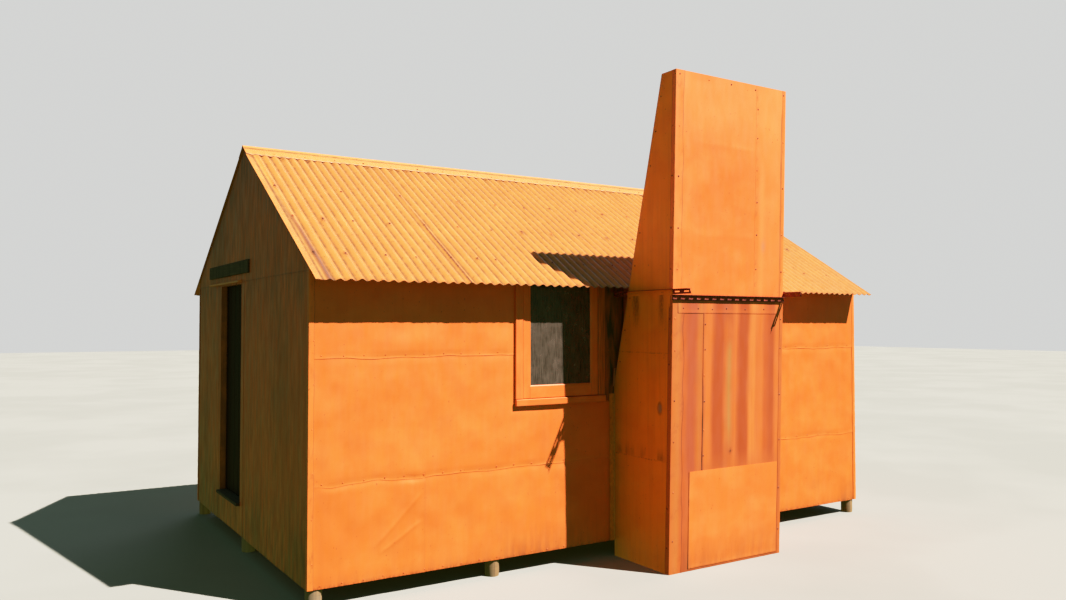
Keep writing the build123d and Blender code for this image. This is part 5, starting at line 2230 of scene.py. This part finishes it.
        # Each column: distance from the left edge, how far its heads stand out in millimetres, their heights
        columns = (
            (0.040, 1.5, (3.822, 3.427, 3.037, 2.644, 2.332)),
            (0.028, 1.5, (1.954, 1.712, 1.327, 1.014, 0.621, 0.25)),
            (1.190, 1.5, (3.820, 3.429, 3.043, 2.650, 2.340, 1.95, 1.709, 1.329, 0.95, 0.55, 0.2)),
            (0.889, 0.9, (3.661, 3.424, 3.164, 2.906, 2.634, 2.358)),
            (0.337, 2.2, (1.91, 1.712, 1.512, 1.30, 1.08, 0.88)))
        spots = [(x, z, proud) for x, proud, heights in columns for z in heights]
        spots += [(x, 3.821, 0.4) for x in (0.345, 0.584, 0.86)]
        spots += [(x, 2.030, 2.9) for x in (0.108, 0.26, 0.41, 0.568, 0.77, 0.984)]
        for x, z, proud in spots:
            x, z = x + rng.uniform(-3, 3) * MM, z + rng.uniform(-5, 5) * MM
            out = self.out(x, z) if z > self.break_at else self.low_out(x, z)
            self.nails.drive(self.front_point(x, z, proud * MM + out), (0, -1, 0))
        for sign, x_face in ((-1, self.left), (1, self.right)):
            for z in (3.427, 3.044, 2.647, 2.332, 1.95, 1.6, 1.25, 0.9, 0.5, 0.2):
                y = self.lines.front - self.depth(z) + 0.03
                self.nails.drive((x_face + sign * 1.5 * MM, y, z), (sign, 0, 0))
            for z in (1.6 + n * 0.26 for n in range(9)):
                y = self.lines.front - self.back(z) - 0.035
                self.nails.drive((x_face + sign * 1.0 * MM, y, z), (sign, 0, 0))


@dataclass
class Braces:
    """Slotted steel angles along the chimney's sides and across its front."""
    lines: Lines
    chimney: Chimney
    slots: Tree
    steel: bpy.types.Material
    bounce_lit_side_paint: bpy.types.Material
    leg: float = 40 * MM
    metal: float = 2 * MM
    pitch: float = 84 * MM
    slot_long: float = 44 * MM
    slot_wide: float = 9 * MM
    seat: float = 1.3 * MM
    level: float = 2.136
    right_reach: float = 0.195
    slant: float = 0.35

    def unit(self, draft: Draft) -> None:
        """Adds one pitch of a slotted strip, with X along it and Z across it from 0 to the leg.

        Args:
            draft: the piece.
        """
        half, mid = self.pitch / 2, self.leg / 2
        end, side = self.slot_long / 2, self.slot_wide / 2
        flat = end - side / 2
        hole = [(end, -side / 2), (end, side / 2), (flat, side), (-flat, side),
                (-end, side / 2), (-end, -side / 2), (-flat, -side), (flat, -side)]
        rim = [(half, -mid), (half, mid), (flat, mid), (-flat, mid),
               (-half, mid), (-half, -mid), (-flat, -mid), (flat, -mid)]
        first = len(draft.points)
        for y in (0.0, self.metal):
            for x, z in hole + rim:
                draft.point((x + half, y, z + mid))
        for n in range(8):
            m = (n + 1) % 8
            h0, h1, f0, f1 = first + n, first + m, first + 8 + n, first + 8 + m
            draft.faces.append([h0, h1, f1, f0])
            draft.faces.append([h0 + 16, f0 + 16, f1 + 16, h1 + 16])
            draft.faces.append([h0, h0 + 16, h1 + 16, h1])
            if n in (1, 2, 3, 5, 6, 7):
                draft.faces.append([f0, f1, f1 + 16, f0 + 16])

    def strip(self, name: str, length: float, finish: bpy.types.Material, slant: float) -> bpy.types.Object:
        """Makes one slotted leg along X.

        Args:
            name: name of the piece.
            length: its length.
            finish: its finish.
            slant: how far its far end is cut aslant, as a share of the leg.

        Returns:
            The object.
        """
        count = max(1, round(length / self.pitch))
        draft = Draft(name)
        self.unit(draft)
        leg = draft.make(finish, 30)
        self.slots.bake(leg, {"Lengths": count, "Pitch": self.pitch, "Finish": finish})
        leg.data.transform(Matrix.Diagonal((length / (count * self.pitch), 1, 1, 1)))
        for vertex in leg.data.vertices:
            if vertex.co.x > length - 1 * MM:
                vertex.co.x -= slant * vertex.co.z
        return leg

    def angle(self, name: str, legs: Iterable[tuple[float, Matrix, float]],
              finish: bpy.types.Material) -> bpy.types.Object:
        """Makes an angle from slotted legs.

        Args:
            name: name of the piece.
            legs: length of each leg, its place and the slant of its end.
            finish: its finish.

        Returns:
            The object.
        """
        joined = bmesh.new()
        for length, matrix, slant in legs:
            leg = self.strip(name, length, finish, slant)
            leg.data.transform(matrix)
            joined.from_mesh(leg.data)
            bpy.data.objects.remove(leg)
        bmesh.ops.holes_fill(joined, edges=[edge for edge in joined.edges if edge.is_boundary])
        bmesh.ops.recalc_face_normals(joined, faces=joined.faces)
        mesh = bpy.data.meshes.new(name)
        joined.to_mesh(mesh)
        joined.free()
        mesh.materials.clear()
        mesh.materials.append(finish)
        return placed(name, mesh)

    def build(self) -> None:
        """Builds the angle across the front and one along each side, painted where it lies on the side."""
        low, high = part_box("chimney_front_brace")
        across = high[0] - low[0]
        upright = Matrix.Translation((low[0], high[1] - self.metal, low[2]))
        level = Matrix.Translation((low[0], high[1], high[2])) @ Matrix.Rotation(math.radians(90), 4, "X")
        legs = [(across, upright, self.slant), (across, level, self.slant)]
        deliver(self.angle("slotted_front_angle", legs, self.steel),
                stands_for=["chimney_front_brace"])
        low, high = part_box("chimney_side_braces")
        face, top, foot = self.lines.front, high[2], low[2]
        side, rear = self.chimney.depth(self.level), self.chimney.back(self.level)
        turn = Matrix.Rotation(math.radians(-90), 4, "Z")
        for name, x, sign, reach in (
                ("left_angle", self.chimney.left - self.seat, -1, face - low[1]),
                ("right_angle", self.chimney.right + self.seat, 1, side + self.right_reach)):
            upright = Matrix.Translation((x + (0 if sign > 0 else -self.metal), face, foot)) @ turn
            past = upright @ Matrix.Translation((side, 0, 0))
            flat = Matrix(((0, 0, sign, x), (-1, 0, 0, face), (0, 1, 0, top - self.metal), (0, 0, 0, 1)))
            legs = [(rear, upright, 0.0), (reach - side, past, self.slant), (reach, flat, self.slant)]
            deliver(self.angle(f"slotted_{name}", legs, self.steel),
                    stands_for=["chimney_side_braces"] if sign < 0 else [])
            # The leg along the side takes the side's enamel with its painted bounce light.
            along = upright @ Matrix.Translation((rear, 0, 0))
            painted = self.angle(f"painted_{name}", [(side - rear, along, 0.0)], self.bounce_lit_side_paint)
            deliver(painted)


@dataclass
class Piles:
    """Round timber piles, hewn a little out of true."""
    lines: Lines
    timber: bpy.types.Material
    radius: float = 0.060
    height: float = 0.165
    sides: int = 14
    end_share: float = 0.955

    def build(self) -> None:
        """Builds the piles in their three rows."""
        low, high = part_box("piles")
        draft = Draft("hewn_piles")
        xs = [low[0] + self.radius + n * (high[0] - low[0] - 2 * self.radius) / 4 for n in range(5)]
        ys = [low[1] + self.radius, (low[1] + high[1]) / 2, high[1] - self.radius]
        for x in xs:
            for y in ys:
                self.pile(draft, x, y)
        deliver(draft.make(self.timber, 60), stands_for=["piles"])

    def pile(self, draft: Draft, x: float, y: float) -> None:
        """Adds one pile.

        Args:
            draft: the piece.
            x: its middle along the hut.
            y: its middle across the hut.
        """
        rings = (0.0, 0.03, 0.08, 0.13, 0.160, self.height)
        first = len(draft.points)
        for level, z in enumerate(rings):
            for n in range(self.sides):
                turn = 2 * math.pi * n / self.sides
                spot = Vector((x * 3 + math.cos(turn), y * 3 + math.sin(turn), z * 3))
                rough = 0.93 + 0.06 * noise.noise(spot)
                reach = self.radius * rough * (self.end_share if level in (0, len(rings) - 1) else 1.0)
                draft.point((x + reach * math.cos(turn), y + reach * math.sin(turn), z))
        for level in range(len(rings) - 1):
            for n in range(self.sides):
                a, b = first + level * self.sides + n, first + level * self.sides + (n + 1) % self.sides
                draft.faces.append([a, b, b + self.sides, a + self.sides])
        draft.faces.append([first + n for n in reversed(range(self.sides))])
        draft.faces.append([first + (len(rings) - 1) * self.sides + n for n in range(self.sides)])


HEAT_STREAKS = (
    Streak(0.045, 0.045, Burn.GOLD, -0.3, 2.2, 0.8),
    Streak(0.125, 0.028, Burn.RED, -0.3, 2.13, 0.5),
    Streak(0.205, 0.050, Burn.ROSE, 0.60, 2.2, 1.0),
    Streak(0.290, 0.020, Burn.GOLD, strength=0.6),
    Streak(0.373, 0.040, Burn.FRESH),
    Streak(0.490, 0.062, Burn.SCORCHED, strength=0.95),
    Streak(0.611, 0.024, Burn.CORE, 0.90, 1.75, 0.85),
    Streak(0.672, 0.024, Burn.FRESH, strength=0.7),
    Streak(0.756, 0.056, Burn.SCORCHED, strength=1.0),
    Streak(0.872, 0.042, Burn.PALE),
    Streak(0.950, 0.040, Burn.FRESH, strength=0.8),
    Streak(1.025, 0.030, Burn.RED, strength=0.6),
    Streak(1.085, 0.040, Burn.SCORCHED, strength=0.8),
    Streak(1.155, 0.028, Burn.FRESH),
    Streak(0.565, 0.045, Burn.ROSE, 1.93, 2.2, 1.0),
)


def main() -> None:
    """Builds the studio, then each part of the hut in the order of building."""
    logging.basicConfig(level=logging.INFO, format="%(message)s")
    lines = Lines()
    Studio().build()

    wall_iron = EnamelOnIron("brushed_enamel_on_flat_iron", settled=0.4).make()
    gable_iron = EnamelOnIron(
        "weathered_enamel_on_gable_iron", body="#F46422", faded="#F8712F", deep="#D45A1E",
        streak="#8C4517", runs=(120, 120, 1700), run_share=0.24, stain_share=0.52, grime="#4C3013").make()
    roof_iron = EnamelOnIron(
        "sun_faded_enamel_with_painted_highlights_on_corrugated_iron", body="#C66C35", faded="#DE8642", deep="#B4642C",
        streak="#9E5626", run_share=0.3, grime="#633F18", settled=0.5, rust="#44190E", zinc="#5A3A30",
        gloss=0.5, fleck_from=0.675).make()
    chimney_iron = EnamelOnIron(
        "brushed_enamel_on_chimney_iron", body="#F46E2D", faded="#FF8244", deep="#E66226",
        streak="#CE5A23", run_share=0.12, settled=0.4).make()
    # Painted light: the left side's enamel is brighter and more orange than the chimney's own, standing in
    # for the orange light bounced onto that shaded side.
    bounce_lit_side_iron = EnamelOnIron(
        "sooty_enamel_with_painted_bounce_light_on_chimney_sides", body="#FF8C24", faded="#FF9A2E", deep="#EC741C",
        streak="#C2641A", runs=(40, 40, 1100), run_share=0.26, grime="#4A3016").make()
    heated_iron = HeatedEnamel(
        "heat_burnt_enamel_on_chimney_iron", lines.left + lines.chimney[0], HEAT_STREAKS).make()
    nail_paint = PaintedNail("enamel_on_nail_heads", 0.90).make()
    worn_nail = PaintedNail("rust_through_enamel_on_nail_heads", 0.15).make()
    paint_up = EnamelOnTimber("brushed_enamel_on_upright_boards", Grain.ALONG_Z).make()
    paint_level = EnamelOnTimber("brushed_enamel_on_level_boards", Grain.ALONG_X).make()
    sawn_x = SawnTimber("rough_sawn_timber_along_hut", Grain.ALONG_X).make()
    sawn_y = SawnTimber("rough_sawn_timber_across_hut", Grain.ALONG_Y).make()
    sawn_z = SawnTimber("rough_sawn_upright_timber", Grain.ALONG_Z).make()
    stain_up = StainedBoard("oil_stained_upright_boards", Grain.ALONG_Z).make()
    stain_across = StainedBoard("oil_stained_level_boards", Grain.ALONG_Y).make()
    sign_stain = StainedBoard("weathered_stain_on_sign", Grain.ALONG_Y, "#4C3C34", "#6A5A50").make()
    steel = RustedSteel("rusted_hot_rolled_steel").make()

    nail_tree = nails_tree()
    Piles(lines, sawn_z).build()
    jamb_paint = EnamelOnTimber("brushed_enamel_on_door_jambs", Grain.ALONG_Z, "#A85A38", "#7A3E20")
    head_paint = EnamelOnTimber("brushed_enamel_on_door_head", Grain.ALONG_Y, "#A85A38", "#7A3E20")
    muddied = SawnTimber("muddied_sawn_threshold", Grain.ALONG_Y, "#4A342A", "#40352F", "#2A1E18")
    pale_iron = EnamelOnIron("pale_enamel_on_door_flashing", body="#F28C51", faded="#F39E6A")
    dress(sawn_x, "bearers", "floor", "wall_plates", "ridge_board", "battens")
    dress(sawn_y, "floor_joists", "rafters")
    dress(muddied.make(), "threshold")
    dress(sawn_z, "front_frame_left", "front_frame_under_window", "front_frame_middle",
          "front_frame_over_hearth", "front_frame_right", "rear_frame", "left_frame_near", "left_frame_far",
          "left_frame_over_door", "right_frame", "chimney_posts")
    dress(jamb_paint.make(), "door_jambs")
    dress(head_paint.make(), "door_lining_head")
    dress(pale_iron.make(), "door_head_flashing")
    dress(DustyGlass("dusty_drawn_glass").make(), "window_glass")
    dress(steel, "hinge_straps", "hinge_pins")
    dress(FieldStone("mortared_river_stone").make(), "hearth_base")

    wall_nails = Nails(nail_tree, nail_paint, 8 * MM, 1.4 * MM)
    LongWall(lines, wall_iron, wall_nails, True).build()
    LongWall(lines, wall_iron, wall_nails, False).build()
    Gable(lines, gable_iron, wall_nails, True).build()
    Gable(lines, wall_iron, wall_nails, False).build()
    wall_nails.build("wall_nails", "wall_iron", 2)
    CornerStrips(lines, wall_iron).build()
    Roof(lines, nail_tree, roof_iron, worn_nail).build()
    Window(lines, paint_up, paint_level).build()
    Doorway(lines, stain_up, stain_across, sign_stain).build()
    chimney_nails = Nails(nail_tree, worn_nail, 14 * MM, 3 * MM)
    chimney = Chimney(lines, chimney_iron, heated_iron, bounce_lit_side_iron, chimney_nails)
    chimney.build()
    chimney_nails.build("chimney_nails", "chimney_iron", 9)
    Braces(lines, chimney, slots_tree(), steel, bounce_lit_side_iron).build()


if __name__ == "__main__":
    main()
